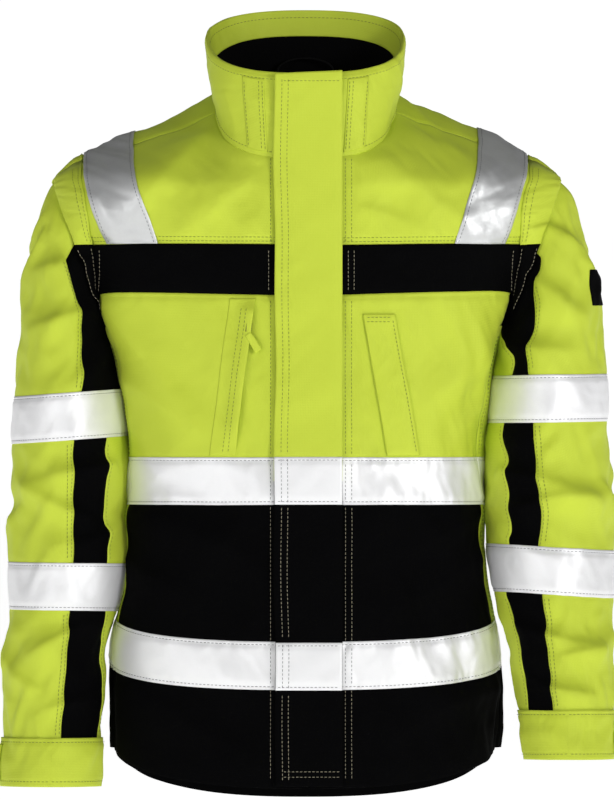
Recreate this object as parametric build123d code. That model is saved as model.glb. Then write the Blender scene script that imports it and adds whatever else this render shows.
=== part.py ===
"""High-visibility winter work jacket, worn shape, as an assembly of sewn panels and closures.

The jacket is modelled in a garment frame (mm): +Z up, the wearer faces -Y, the wearer's left
arm is on +X, and z = 0 is the lowest point of the long back tail.  Every part is moved at the
end so that the origin is the top of the hanger loop, the point that the jacket hangs from.
Layers are told by their offset from the outer face of the shell fabric: plus is outward.
"""
from build123d import *
import math
import os

# ---- driving dimensions (mm) ---------------------------------------------------------------
TAPE_WIDTH = 49.0            # reflective tape
SHELL = 2.5                  # shell fabric with its wadding
LINING = 1.6                 # quilted lining
LINING_GAP = 1.3             # room for zip tape and pocket bags between shell and lining
TRIM = 1.1                   # tapes and patches sewn on the shell
TRIM_GAP = 0.25              # clearance between the shell and what is sewn on it
FRONT_LOW = (-130.0, 15.0)   # y, z of the straight front edge at the hem
FRONT_TOP = (-90.0, 757.0)   # y, z of the front edge at the collar's top
ZIP_GAP = 3.0                # half the gap between the two fronts
FLAP_FREE_X = -32.0          # free edge of the storm flap
FLAP_SEWN_X = 38.0           # sewn edge of the storm flap
FLAP_STAND = 3.8             # from the shell to the back of the flap
FLAP_THICK = 2.4
HEM_FRONT = 15.0             # z of the front hem at the middle
HEM_SIDE = 55.0              # z of the hem at the sides
ARMPIT = 471.0
BAND_LOW, BAND_HIGH = 522.0, 574.0           # black chest band
CHEST_TAPE_Z = 331.0                         # middle of the upper tape
HEM_TAPE_MID, HEM_TAPE_SIDE = 141.0, 164.0   # middle of the lower tape, at centre and at sides
SIDE_SEAM_Y = -35.0
SQUARENESS = 2.5             # exponent of the superellipse that every body section follows
FAR = 400.0

# The body's shape by level: level, half width, back depth, tilt (dz/dy) of the section there.
# Sections are level up to the yoke seam, and above it they lean into the plane of the neck.
BODY_LEVELS = [
    (-25.0, 203.0, 124.0, 0.0),
    (60.0, 203.0, 125.0, 0.0),
    (150.0, 201.0, 124.0, 0.0),
    (240.0, 188.0, 118.0, 0.0),
    (330.0, 185.0, 118.0, 0.0),
    (420.0, 191.0, 122.0, 0.0),
    (510.0, 216.0, 124.0, 0.0),
    (574.0, 239.0, 120.0, 0.0),
    (640.0, 252.0, 108.0, 0.2),
    (664.0, 232.0, 98.0, 0.3),
    (684.0, 170.0, 90.0, 0.4),
    (703.0, 119.0, 84.0, 0.48),
    (715.0, 90.0, 80.0, 0.52),
]
# The collar's sections, in the same terms.
COLLAR_LEVELS = [
    (717.0, 89.0, 79.0, 0.52),
    (740.0, 94.0, 80.0, 0.48),
    (764.0, 100.0, 80.5, 0.44),
    (788.0, 104.0, 81.0, 0.4),
]
NECK_CLEAR = 0.4

# Sleeve sections: z, x of the outer and inner edge, y of the middle, half depth.  The right
# sleeve hangs straight, and the left one is bent forward a little at the elbow.
RIGHT_SLEEVE = [
    (636.0, 266.0, 246.0, 2.0, 20.0),
    (612.0, 276.0, 225.0, 2.0, 29.0),
    (578.0, 284.0, 205.0, 2.0, 38.0),
    (520.0, 292.0, 195.0, 2.0, 54.0),
    (471.0, 296.0, 196.0, 0.0, 66.0),
    (419.0, 299.0, 196.0, -2.0, 72.0),
    (362.0, 304.0, 191.0, -5.0, 74.0),
    (310.0, 305.0, 189.5, -9.0, 73.0),
    (248.0, 306.0, 192.0, -15.0, 70.0),
    (198.0, 307.0, 199.5, -21.0, 66.0),
    (154.0, 311.0, 206.5, -27.0, 61.0),
    (102.0, 313.0, 208.5, -34.0, 55.0),
    (66.0, 313.0, 211.0, -39.0, 51.0),
    (15.0, 314.0, 214.0, -44.0, 48.0),
]
LEFT_SLEEVE = [
    (642.0, 267.0, 247.0, 2.0, 20.0),
    (612.0, 284.0, 225.0, 2.0, 31.0),
    (578.0, 292.0, 205.0, 2.0, 41.0),
    (520.0, 304.0, 195.0, 2.0, 57.0),
    (471.0, 309.0, 196.0, 0.0, 68.0),
    (419.0, 313.0, 196.0, -4.0, 74.0),
    (362.0, 316.0, 191.0, -10.0, 75.0),
    (310.0, 317.0, 189.5, -18.0, 74.0),
    (248.0, 318.0, 193.0, -30.0, 70.0),
    (205.0, 319.0, 202.0, -41.0, 66.0),
    (166.0, 318.0, 209.0, -54.0, 61.0),
    (130.0, 318.0, 215.0, -66.0, 56.0),
    (95.0, 318.0, 220.0, -79.0, 51.0),
    (44.0, 316.0, 227.0, -94.0, 47.0),
]
CUFF_HIGH = 51.0             # height of a cuff
CUFF_PROUD = 1.6             # the cuff stands this far out of the sleeve
SLEEVE_CLEAR = 3.0           # between the body and a sleeve
TAB_WRAP = 62.0              # length of a cuff tab
TAB_HIGH = 38.0
TAB_THICK = 2.0

LOOP_WIDE, LOOP_DROP, LOOP_STRAP = 60.0, 14.0, 2.0


# ---- geometry helpers ------------------------------------------------------------------------
def front_y(z):
    """y of the straight front edge at a height."""
    share = (z - FRONT_LOW[1]) / (FRONT_TOP[1] - FRONT_LOW[1])
    return FRONT_LOW[0] + share * (FRONT_TOP[0] - FRONT_LOW[0])


FRONT_LEAN = math.degrees(
    math.atan2(FRONT_TOP[0] - FRONT_LOW[0], FRONT_TOP[1] - FRONT_LOW[1])
)
FRONT_UP = (
    0.0,
    math.sin(math.radians(FRONT_LEAN)),
    math.cos(math.radians(FRONT_LEAN)),
)


def between(table, level, column):
    """A smooth reading of one column of a table at a level."""
    levels = [row[0] for row in table]
    values = [row[column] for row in table]
    k = max(i for i in range(len(levels) - 1) if levels[i] <= level or i == 0)

    def slope(i):
        low, high = max(i - 1, 0), min(i + 1, len(levels) - 1)
        return (values[high] - values[low]) / (levels[high] - levels[low])

    step = levels[k + 1] - levels[k]
    t = min(max((level - levels[k]) / step, 0.0), 1.0)
    return (
        values[k] * (2 * t**3 - 3 * t**2 + 1) + values[k + 1] * (3 * t**2 - 2 * t**3)
        + step * slope(k) * (t**3 - 2 * t**2 + t) + step * slope(k + 1) * (t**3 - t**2)
    )


def section(table, level, offset, at_end=False):
    """Height, tilt, half width, front depth and back depth of a section, grown by an offset."""
    below, above = max(level - 6, table[0][0]), min(level + 6, table[-1][0])
    run = between(table, above, 1) - between(table, below, 1)
    long = math.hypot(run, above - below)
    share_x, share_z = (1.0, 0.0) if at_end else ((above - below) / long, -run / long)
    tilt = between(table, level, 3)
    height = level + offset * share_z
    slope = (FRONT_TOP[0] - FRONT_LOW[0]) / (FRONT_TOP[1] - FRONT_LOW[1])
    front = -front_y(height) / (1 - slope * tilt)
    half = between(table, level, 1) + offset * share_x
    return height, tilt, half, front + offset, between(table, level, 2) + offset


def turn_at(shape, limit):
    """The turn (0 in front, a half turn behind) where a section meets a limit.

    A limit is a side (1 left, -1 right), an axis and a value: x as a distance from the middle,
    y as it is, or back_x for a distance from the middle behind.
    """
    _, _, half, front, back = shape
    side, axis, value = limit
    if axis == "y":
        turn = math.acos(min(1.0, abs(value) / (front if value <= 0 else back)) ** (SQUARENESS / 2))
        return side * (turn if value <= 0 else math.pi - turn)
    turn = math.asin(min(1.0, max(0.0, value / half)) ** (SQUARENESS / 2))
    return side * (turn if axis == "x" else math.pi - turn)


def section_point(shape, turn, plane=None):
    height, tilt, half, front, back = shape
    c, s = math.cos(turn), math.sin(turn)
    x = half * math.copysign(abs(s) ** (2 / SQUARENESS), s)
    y = -(front if c > 0 else back) * math.copysign(abs(c) ** (2 / SQUARENESS), c)
    if plane:
        return x, y, plane[0] + plane[1] * y
    return x, y, height + tilt * y


def arc(shape, start, end, count, plane):
    first, last = turn_at(shape, start), turn_at(shape, end)
    if last < first:
        last += 2 * math.pi
    return [
        section_point(shape, first + (last - first) * k / (count - 1), plane)
        for k in range(count)
    ]


def through(points):
    """A spline with evenly numbered points, so that neighbouring sections match."""
    return Edge.make_spline(
        [Vector(*p) for p in points], parameters=[k / (len(points) - 1) for k in range(len(points))]
    )


def wall(table, levels, outside, inside, start, end, count=9, planes=None):
    """A curved sheet between two offsets, two limits and the first and last level.

    The limits may be functions of the level.  Planes (z at y = 0, dz/dy) lay chosen sections
    into a leaning plane, which is how the hem and the lower tape rise to the sides.
    """
    wires = []
    for k, level in enumerate(levels):
        at_end = k in (0, len(levels) - 1)
        low = start(level) if callable(start) else start
        high = end(level) if callable(end) else end
        plane = planes[k] if planes else None
        outer = arc(section(table, level, outside, at_end), low, high, count, plane)
        inner = arc(section(table, level, inside, at_end), low, high, count, plane)[::-1]
        wires.append(Wire([
            through(outer), Line(outer[-1], inner[0]), through(inner), Line(inner[-1], outer[0])
        ]))
    return Solid.make_loft(wires, ruled=True)


def steps(low, high, longest=30.0):
    """Evenly spaced levels from low to high."""
    count = max(1, math.ceil((high - low) / longest))
    return [low + (high - low) * k / count for k in range(count + 1)]


def envelope(offset):
    """The filled body, grown by an offset."""
    wires = []
    for level in steps(400.0, 700.0, 20.0):
        shape = section(BODY_LEVELS, level, offset)
        count = 24
        points = [section_point(shape, 2 * math.pi * (k + 0.5) / count) for k in range(count)]
        wires.append(Wire([ring_spline(points)]))
    return Solid.make_loft(wires, ruled=True)


def ring_spline(points):
    count = len(points)
    return Edge.make_spline(
        [Vector(*p) for p in points], periodic=True, parameters=[k / count for k in range(count + 1)]
    )


def sleeve_shape(sections, z):
    """Outer and inner x, middle y and half depth of a sleeve at a height."""
    table = [(s[0], *s[1:]) for s in sections[::-1]]
    return [between(table, z, column) for column in (1, 2, 3, 4)]


def sleeve_tube(sections, side, outside, inside, low, high, count=16):
    """A sleeve's wall between two offsets and two heights."""
    def wires(offset):
        made = []
        for z in steps(low, high, 26.0):
            outer, inner, mid_y, depth = sleeve_shape(sections, z)
            centre, half = side * (outer + inner) / 2, (outer - inner) / 2 + offset
            points = []
            for k in range(count):
                turn = 2 * math.pi * (k + 0.5) / count
                points.append(
                    (centre + half * math.sin(turn), mid_y - (depth + offset) * math.cos(turn), z)
                )
            made.append(Wire([ring_spline(points)]))
        return made

    outer, inner = wires(outside), wires(inside)
    faces = [
        face
        for made in (outer, inner)
        for face in Solid.make_loft(made, ruled=True).faces()
        if face.geom_type != GeomType.PLANE
    ]
    faces += [Face(outer[k], [inner[k]]) for k in (0, -1)]
    return Solid(Shell(faces))


def slab(x=(-FAR, FAR), y=(-FAR, FAR), z=(-FAR, 3 * FAR)):
    """A box from one limit to the other on each axis."""
    size = [high - low for low, high in (x, y, z)]
    middle = [(high + low) / 2 for low, high in (x, y, z)]
    return Pos(*middle) * Box(*size)


def front_prism(points, y=(-FAR, 0.0)):
    """An outline given in the front view (x, z), run through a range of y."""
    outline = Polyline(*[(px, y[0], pz) for px, pz in points], close=True)
    return Solid.extrude(make_face(outline).face(), Vector(0, y[1] - y[0], 0))


def solids(shape):
    """The solids of a shape that are not mere slivers, as one shape."""
    kept = [s for s in shape.solids() if s.volume > 1.0]
    return kept[0] if len(kept) == 1 else Compound(kept)


def cut(shape, *tools):
    for tool in tools:
        shape = shape - tool
    return solids(shape)


def keep(shape, *tools):
    for tool in tools:
        shape = shape & tool
    return solids(shape)


def joined(*shapes):
    """Pieces that meet on a flat face, made into one."""
    return solids(shapes[0].fuse(*shapes[1:]))


def leaned(shape, x, z, offset):
    """Places a shape made about the origin, front face to -Y, on the straight front edge."""
    y = front_y(z)
    normal = (0.0, -math.cos(math.radians(FRONT_LEAN)), math.sin(math.radians(FRONT_LEAN)))
    place = Vector(x, y, z) + Vector(*normal) * offset
    return Location(place, (-FRONT_LEAN, 0, 0)) * shape


parts = {}
SIDES = (("right", -1), ("left", 1))


# ---- body shell ------------------------------------------------------------------------------
YOKE_LEVELS = [574.0, 590.0, 606.0, 620.0, 632.0, 644.0, 655.0, 664.0, 672.0, 680.0, 688.0, 696.0, 704.0, 713.0]
ARMHOLE_TOP, ARMHOLE_DEEP = 632.0, 36.0


def armhole_reach(level):
    """How far in front of and behind the arm's middle the armhole is open at a level."""
    share = (level - 562.0) / 70.0
    return ARMHOLE_DEEP * math.sqrt(max(0.0, 1 - share * share))


def armhole_x(level):
    """x of the armhole's front edge at a level."""
    _, _, half, front, _ = section(BODY_LEVELS, level, 0.0)
    return half * (1 - (armhole_reach(level) / front) ** SQUARENESS) ** (1 / SQUARENESS)


def front_end(side):
    return lambda level: (side, "y", -armhole_reach(level))


def back_end(side):
    return lambda level: (side, "y", armhole_reach(level))


def ordered(side, inner, outer):
    """Start and end of a wall on one side, always from the wearer's right to the left."""
    return (inner, outer) if side > 0 else (outer, inner)


def seam(side, y):
    return (side, "y", y)


HEM_PLANE_FRONT = (HEM_FRONT - FRONT_LOW[0] * 0.42, 0.42)
HEM_PLANE_BACK = (HEM_SIDE + 21.0, -0.61)
HEM_PLANE_SIDE = (HEM_SIDE, 0.0)
LOWER_LEVELS = [HEM_FRONT, 60.0, *steps(90.0, CHEST_TAPE_Z, 27.0)]


def hem_wall(outside, inside, start, end, plane, levels, lift=0.0, count=9):
    planes = [(plane[0] + lift, plane[1])] + [None] * (len(levels) - 1)
    return wall(BODY_LEVELS, levels, outside, inside, start, end, count, planes)


for name, side in SIDES:
    centre = (side, "x", ZIP_GAP)
    parts[f"yoke_front_{name}"] = wall(
        BODY_LEVELS, YOKE_LEVELS, 0, -SHELL, *ordered(side, centre, front_end(side))
    )
    parts[f"chest_band_{name}"] = wall(
        BODY_LEVELS, steps(BAND_LOW, BAND_HIGH), 0, -SHELL, *ordered(side, centre, front_end(side))
    )
    parts[f"chest_panel_{name}"] = wall(
        BODY_LEVELS, steps(CHEST_TAPE_Z, BAND_LOW), 0, -SHELL,
        *ordered(side, centre, lambda level: (side, "y", -max(-SIDE_SEAM_Y, armhole_reach(level)))),
    )
    parts[f"lower_front_{name}"] = hem_wall(
        0, -SHELL, *ordered(side, centre, seam(side, SIDE_SEAM_Y)), HEM_PLANE_FRONT, LOWER_LEVELS
    )
    parts[f"side_panel_{name}"] = wall(
        BODY_LEVELS, steps(HEM_TAPE_SIDE, ARMPIT + 18, 27.0), 0, -SHELL,
        *ordered(side, seam(side, SIDE_SEAM_Y), seam(side, -SIDE_SEAM_Y)), count=5,
    )
    parts[f"hem_elastic_{name}"] = hem_wall(
        0, -SHELL, *ordered(side, seam(side, SIDE_SEAM_Y), seam(side, -SIDE_SEAM_Y)),
        HEM_PLANE_SIDE, [HEM_SIDE, 90.0, 127.0, HEM_TAPE_SIDE], count=5,
    )

parts["back_yoke"] = wall(
    BODY_LEVELS, YOKE_LEVELS, 0, -SHELL, back_end(1), back_end(-1), count=17
)
parts["back_panel"] = wall(
    BODY_LEVELS, steps(HEM_TAPE_SIDE, BAND_HIGH, 22.0), 0, -SHELL,
    lambda level: (1, "y", max(-SIDE_SEAM_Y, armhole_reach(level))),
    lambda level: (-1, "y", max(-SIDE_SEAM_Y, armhole_reach(level))), count=17,
)
parts["back_hem_panel"] = hem_wall(
    0, -SHELL, seam(1, -SIDE_SEAM_Y), seam(-1, -SIDE_SEAM_Y), HEM_PLANE_BACK,
    [HEM_FRONT, 90.0, 127.0, HEM_TAPE_SIDE], count=17,
)

# ---- lining ----------------------------------------------------------------------------------
LINING_OUT = -SHELL - LINING_GAP
lining_edge = 18.0


def lining_wall(levels, start, end, count):
    return wall(BODY_LEVELS, levels, LINING_OUT, LINING_OUT - LINING, start, end, count)


# A lower piece goes round, and two fronts and a back rise from it between the armholes.
upper_levels = [480.0, 500.0, 530.0, 555.0, *YOKE_LEVELS]
parts["body_lining"] = Compound([
    lining_wall(steps(70.0, 480.0, 30.0), (1, "x", lining_edge), (-1, "x", lining_edge), 33),
    *[
        lining_wall(upper_levels, *ordered(side, (side, "x", lining_edge), front_end(side)), 9)
        for _, side in SIDES
    ],
    lining_wall(upper_levels, back_end(1), back_end(-1), 17),
])

# ---- collar ----------------------------------------------------------------------------------
COLLAR_STEPS = [717.0, 728.0, 740.0, 752.0, 764.0, 776.0, 788.0]
parts["collar"] = wall(
    COLLAR_LEVELS, COLLAR_STEPS, 0, -SHELL, (1, "x", ZIP_GAP), (-1, "x", ZIP_GAP), count=33
)
parts["collar_lining"] = wall(
    COLLAR_LEVELS, COLLAR_STEPS[:5], LINING_OUT, LINING_OUT - LINING,
    (1, "x", lining_edge), (-1, "x", lining_edge), count=33,
)
parts["collar_facing"] = wall(
    COLLAR_LEVELS, COLLAR_STEPS[4:], LINING_OUT, LINING_OUT - LINING,
    (1, "x", lining_edge), (-1, "x", lining_edge), count=33,
)
TRIM_OUT = TRIM_GAP + TRIM
parts["collar_strips"] = Compound([
    wall(
        COLLAR_LEVELS, COLLAR_STEPS[1:6], TRIM_OUT, TRIM_GAP,
        *ordered(side, (side, "x", 43.0), lambda level: (side, "x", 56.0 + (level - 728) * 0.14)), 5,
    )
    for _, side in SIDES
])

# ---- reflective tapes and patches sewn on the body -------------------------------------------
HALF_TAPE = TAPE_WIDTH / 2
COVER_WIDE = 21.0            # the strip that covers the sleeve's seam
TRIM_CENTRE = 9.0


def tape_wall(levels, start, end, count, planes=None, gap=TRIM_GAP):
    return wall(BODY_LEVELS, levels, gap + TRIM, gap, start, end, count, planes)


chest_levels = [CHEST_TAPE_Z - HALF_TAPE, CHEST_TAPE_Z, CHEST_TAPE_Z + HALF_TAPE]
hem_slope = (HEM_TAPE_SIDE - HEM_TAPE_MID) / 104.0
hem_levels = [HEM_TAPE_MID - HALF_TAPE, HEM_TAPE_MID + HALF_TAPE]
hem_front_planes = [(HEM_TAPE_MID + 123 * hem_slope + d, hem_slope) for d in (-HALF_TAPE, HALF_TAPE)]
hem_back_levels = [HEM_TAPE_SIDE + 5 + d for d in (-HALF_TAPE, 0.0, HALF_TAPE)]
for name, side in SIDES:
    ends = ordered(side, (side, "x", TRIM_CENTRE), seam(side, SIDE_SEAM_Y - 0.3))
    parts[f"chest_tape_{name}"] = tape_wall(chest_levels, *ends, 9)
    parts[f"hem_tape_{name}"] = tape_wall(hem_levels, *ends, 9, hem_front_planes)
back_ends = (seam(1, SIDE_SEAM_Y + 0.3), seam(-1, SIDE_SEAM_Y + 0.3))
parts["chest_tape_back"] = tape_wall(chest_levels, *back_ends, 25)
parts["hem_tape_back"] = tape_wall(hem_back_levels, *back_ends, 25)

CURVED_GAP = 1.0             # tapes on strongly curved places stand a little further off
SHOULDER_GAP = 2.1
COVER_LEVELS = [524.0, 540.0, 557.0, 574.0, 590.0, 606.0, 620.0, 632.0, 638.0]
SHOULDER_LEVELS = [576.0, 590.0, 606.0, 620.0, 632.0, 644.0, 655.0, 664.0, 669.0, 674.0, 677.5]


def shoulder_limits(side, behind=False):
    """Inner and outer edge of the tape that runs over a shoulder, leaning outward going up."""
    axis = "back_x" if behind else "x"
    def inner(level):
        return side, axis, 153.0 + 24.0 * (level - 576) / 100

    def outer(level):
        return side, axis, 205.0 + 30.0 * (level - 576) / 100

    return (outer, inner) if behind else (inner, outer)


for name, side in SIDES:
    parts[f"shoulder_tape_{name}"] = Compound([
        tape_wall(SHOULDER_LEVELS, *ordered(side, *limits), 7, gap=SHOULDER_GAP)
        for limits in (shoulder_limits(side), shoulder_limits(side, True))
    ])
    parts[f"armhole_cover_{name}"] = tape_wall(
        COVER_LEVELS,
        *ordered(
            side,
            lambda level: (side, "x", armhole_x(level) - COVER_WIDE),
            lambda level: (side, "y", -max(armhole_reach(level), 5.0)),
        ), 5, gap=CURVED_GAP,
    )

# ---- front zip -------------------------------------------------------------------------------
ZIP_LOW, ZIP_HIGH = 28.0, 748.0
zip_run = (ZIP_HIGH - ZIP_LOW) / FRONT_UP[2]


def front_bar(x, width, z_low, z_high, offset, thick):
    """A straight bar along the front edge, from a low to a high point."""
    long = (z_high - z_low) / FRONT_UP[2]
    bar = Box(width, thick, long)
    return leaned(bar, x, (z_low + z_high) / 2, offset)


parts["zip_chain"] = solids(front_bar(0, 2 * ZIP_GAP - 1.0, ZIP_LOW, ZIP_HIGH, -1.0, 2.0))
parts["zip_tapes"] = Compound([
    solids(front_bar(x, 12.4, ZIP_LOW, ZIP_HIGH, -SHELL - 0.8, 0.7)) for x in (-9.2, 9.2)
])

SLIDER_Z = 722.0
SLIDER_OFFSET = 1.65
slider_body = fillet(Box(9, 2.4, 14).edges().filter_by(Axis.Y), 2.5)
crown = Pos(0, -1.5, 0) * Box(2.6, 0.6, 7)
parts["zip_slider"] = solids(leaned(slider_body + crown, 0, SLIDER_Z, SLIDER_OFFSET))
pull = Box(5.0, 0.8, 26.0)
pull = fillet(pull.edges().filter_by(Axis.Y), 2.0) - Pos(0, 0, -9) * Location((0, 0, 0), (90, 0, 0)) * Cylinder(1.2, 4)
parts["zip_pull"] = solids(leaned(pull, 0, SLIDER_Z - 20.6, SLIDER_OFFSET))

# ---- storm flap ------------------------------------------------------------------------------
flap_x = (FLAP_FREE_X + FLAP_SEWN_X) / 2
flap_wide = FLAP_SEWN_X - FLAP_FREE_X
FLAP_TOP, FLAP_LOW = 754.0, 17.0
flap_offset = FLAP_STAND + FLAP_THICK / 2
parts["storm_flap"] = solids(
    front_bar(flap_x, flap_wide, CHEST_TAPE_Z, FLAP_TOP, flap_offset, FLAP_THICK)
)
parts["storm_flap_lower"] = solids(
    front_bar(flap_x, flap_wide, FLAP_LOW, CHEST_TAPE_Z, flap_offset, FLAP_THICK)
)
tape_offset = FLAP_STAND + FLAP_THICK + TRIM_GAP + TRIM / 2
for name, mid in (("flap_tape_upper", CHEST_TAPE_Z), ("flap_tape_lower", HEM_TAPE_MID - 1)):
    parts[name] = solids(
        front_bar(flap_x, flap_wide, mid - TAPE_WIDTH / 2, mid + TAPE_WIDTH / 2, tape_offset, TRIM)
    )
PATCH_Z = [60.0, 205.0, 265.0, 420.0, 500.0, 590.0, 640.0]
PATCH_X, PATCH_WIDE, PATCH_LONG, PATCH_THICK = -20.5, 16.0, 38.0, 0.9
parts["flap_hook_patches"] = Compound([
    s
    for z in PATCH_Z
    for s in front_bar(
        PATCH_X, PATCH_WIDE, z - PATCH_LONG / 2, z + PATCH_LONG / 2,
        FLAP_STAND - PATCH_THICK / 2 - 0.05, PATCH_THICK,
    ).solids()
])
parts["front_loop_patches"] = Compound([
    s
    for z in PATCH_Z
    for s in front_bar(
        PATCH_X, PATCH_WIDE, z - PATCH_LONG / 2, z + PATCH_LONG / 2,
        0.3 + PATCH_THICK / 2, PATCH_THICK,
    ).solids()
])

# ---- chest pockets ---------------------------------------------------------------------------
RIGHT_POCKET = ((-55.0, 515.0), (-72.0, 385.0))   # x, z of the zip's two ends
LEFT_POCKET = ((59.0, 503.0), (84.0, 358.0))      # x, z of the free edge of the left welt


def beside(line, near, far):
    """A strip outline beside a line, from one distance to another towards the arm."""
    (x0, z0), (x1, z1) = line
    sign = math.copysign(1, x0)
    return [
        (x0 + sign * near, z0), (x0 + sign * far, z0),
        (x1 + sign * far, z1), (x1 + sign * near, z1),
    ]


def strip_wall(line, near, far, outside, inside, count=5):
    """A strip beside a slanted line on the front, between two distances towards the arm."""
    (x0, z0), (x1, z1) = line
    side = 1 if x0 > 0 else -1

    def edge(distance):
        return lambda level: (
            side, "x", abs(x0) + (abs(x1) - abs(x0)) * (z0 - level) / (z0 - z1) + distance
        )

    levels = steps(z1, z0, 33.0)
    return wall(
        BODY_LEVELS, levels, outside, inside, *ordered(side, edge(near), edge(far)), count
    )


parts["pocket_zip_right"] = strip_wall(RIGHT_POCKET, -2.2, 2.2, TRIM_OUT, TRIM_GAP)
parts["pocket_welt_right"] = strip_wall(RIGHT_POCKET, 3.0, 15.0, TRIM_OUT, TRIM_GAP)
parts["pocket_welt_left"] = strip_wall(LEFT_POCKET, 0.0, 34.0, TRIM_OUT, TRIM_GAP)
BAG_OUT, BAG_IN = -SHELL - 0.25, -SHELL - 1.05
parts["pocket_bags"] = Compound([
    strip_wall(RIGHT_POCKET, -8.0, 95.0, BAG_OUT, BAG_IN, 9),
    strip_wall(LEFT_POCKET, -8.0, 80.0, BAG_OUT, BAG_IN, 9),
])


def body_front_y(x, z):
    """y of the body's outer face in front, at a place in the front view."""
    half = between(BODY_LEVELS, z, 1)
    return front_y(z) * (1 - abs(x / half) ** SQUARENESS) ** (1 / SQUARENESS)


pocket_top = Vector(RIGHT_POCKET[0][0], 0, RIGHT_POCKET[0][1])
pocket_low = Vector(RIGHT_POCKET[1][0], 0, RIGHT_POCKET[1][1])
pocket_top.Y = body_front_y(pocket_top.X, pocket_top.Z)
pocket_low.Y = body_front_y(pocket_low.X, pocket_low.Z)
POCKET_TRAVEL = 85.0
pocket_run = (pocket_low - pocket_top).normalized()
pocket_out = Vector(1, 0, 0).cross(pocket_run).normalized()
if pocket_out.Y > 0:
    pocket_out = pocket_out * -1
pocket_side = pocket_run.cross(pocket_out).normalized()
POCKET_SLIDER_AT, POCKET_SLIDER_OUT = 26.0, 3.4
slider_place = pocket_top + pocket_run * POCKET_SLIDER_AT + pocket_out * POCKET_SLIDER_OUT
slider_plane = Plane(origin=slider_place, x_dir=pocket_run, z_dir=pocket_out)
slider_box = fillet(Box(11, 6.0, 2.4).edges().filter_by(Axis.Z), 1.8)
parts["pocket_slider_right"] = solids(slider_plane * slider_box)
PULL_TURN = -38.0            # the fabric pull hangs across the zip, towards the front edge
pull_place = slider_place + pocket_run * 6.5 + pocket_out * 2.1
tab = Pos(10.5, 0, 0) * fillet(Box(21, 8.0, 1.2).edges().filter_by(Axis.Z), 1.2)
pull_plane = Plane(origin=pull_place, x_dir=pocket_run, z_dir=pocket_out)
parts["pocket_pull_right"] = solids(pull_plane * (Rot(0, 0, -PULL_TURN) * tab))

# ---- hanger loop -----------------------------------------------------------------------------
LOOP_Y, LOOP_Z = 70.0, 757.0
loop_outer = Location((0, LOOP_Y, LOOP_Z), (90, 0, 0)) * extrude(Ellipse(LOOP_WIDE / 2, LOOP_DROP), 8.0)
loop_inner = Location((0, LOOP_Y + 1, LOOP_Z), (90, 0, 0)) * extrude(
    Ellipse(LOOP_WIDE / 2 - LOOP_STRAP, LOOP_DROP - LOOP_STRAP), 10.0
)
parts["hanger_loop"] = cut(loop_outer, loop_inner, slab(z=(-FAR, LOOP_Z)))

# ---- sleeves ---------------------------------------------------------------------------------
body_envelope = envelope(SLEEVE_CLEAR)


SLEEVE_TAPE_GAP = 0.8
ARM_NEAR_BODY = 198.0        # above the elbow no tape lies nearer to the body than this


def slanted_band(side, z, rise, width=TAPE_WIDTH):
    """A band across a sleeve in the front view, rising to its outer edge."""
    outer, inner = 340.0, 180.0
    return front_prism(
        [
            (side * inner, z - width / 2), (side * outer, z + rise - width / 2),
            (side * outer, z + rise + width / 2), (side * inner, z + width / 2),
        ],
        (-FAR, FAR),
    )


def sleeve(name, side, sections, stripe, tape_high, tape_low):
    """All the pieces of one sleeve; returns the height where its cuff ends."""
    low_z, high_z = sections[-1][0], sections[0][0]
    cuff_top = low_z + CUFF_HIGH

    def layer(outside, inside, low, high=high_z):
        tube = sleeve_tube(sections, side, outside, inside, low, high)
        return cut(tube, body_envelope) if high > 440 else solids(tube)

    shell = layer(0.0, -SHELL, cuff_top - 4)
    stripe_prism = front_prism([(side * x, z) for x, z in stripe], (-FAR, -30))
    parts[f"sleeve_{name}"] = cut(shell, stripe_prism)
    parts[f"sleeve_stripe_{name}"] = keep(shell, stripe_prism)
    parts[f"sleeve_lining_{name}"] = layer(-SHELL - 0.4, -SHELL - 0.4 - LINING, low_z + 14)
    bands = []
    for z, rise in (tape_high, tape_low):
        skin = sleeve_tube(sections, side, SLEEVE_TAPE_GAP + TRIM, SLEEVE_TAPE_GAP, z - 38, z + 38)
        x_near = sorted((side * 150.0, side * (ARM_NEAR_BODY + SLEEVE_TAPE_GAP)))
        near_body = slab(x=x_near, z=(418.0, 480.0))
        bands.append(cut(keep(skin, slanted_band(side, z, rise)), near_body))
    parts[f"sleeve_tapes_{name}"] = Compound(bands)
    parts[f"cuff_{name}"] = layer(CUFF_PROUD + SHELL, CUFF_PROUD, low_z, cuff_top)
    tab_in = CUFF_PROUD + SHELL + 0.4
    tab_ring = layer(tab_in + TAB_THICK, tab_in, low_z + 6, low_z + 6 + TAB_HIGH)
    mid_y = sections[-1][3]
    x_range = (268.0, 400.0) if side > 0 else (-400.0, -268.0)
    parts[f"cuff_tab_{name}"] = keep(tab_ring, slab(x=x_range, y=(mid_y - 14, mid_y + TAB_WRAP - 28)))


RIGHT_STRIPE = [(184, 520), (232, 520), (224, 420), (224, 372), (238, 310), (238, 200), (254, 55),
                (212, 55), (206, 200), (204, 372), (184, 420)]
LEFT_STRIPE = [(186, 520), (226, 520), (222, 450), (222, 410), (230, 330), (240, 240), (242, 200),
               (258, 84), (226, 84), (210, 200), (205, 300), (204, 372), (186, 410)]
sleeve("right", -1, RIGHT_SLEEVE, RIGHT_STRIPE, (397.0, -8.0), (221.0, 1.0))
sleeve("left", 1, LEFT_SLEEVE, LEFT_STRIPE, (415.0, 2.0), (237.0, -4.0))
badge_skin = sleeve_tube(LEFT_SLEEVE, 1, TRIM_OUT, TRIM_GAP, 511.0, 549.0)
parts["sleeve_badge_left"] = keep(badge_skin, slab(x=(280, 360), y=(-26, 8)))

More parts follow.
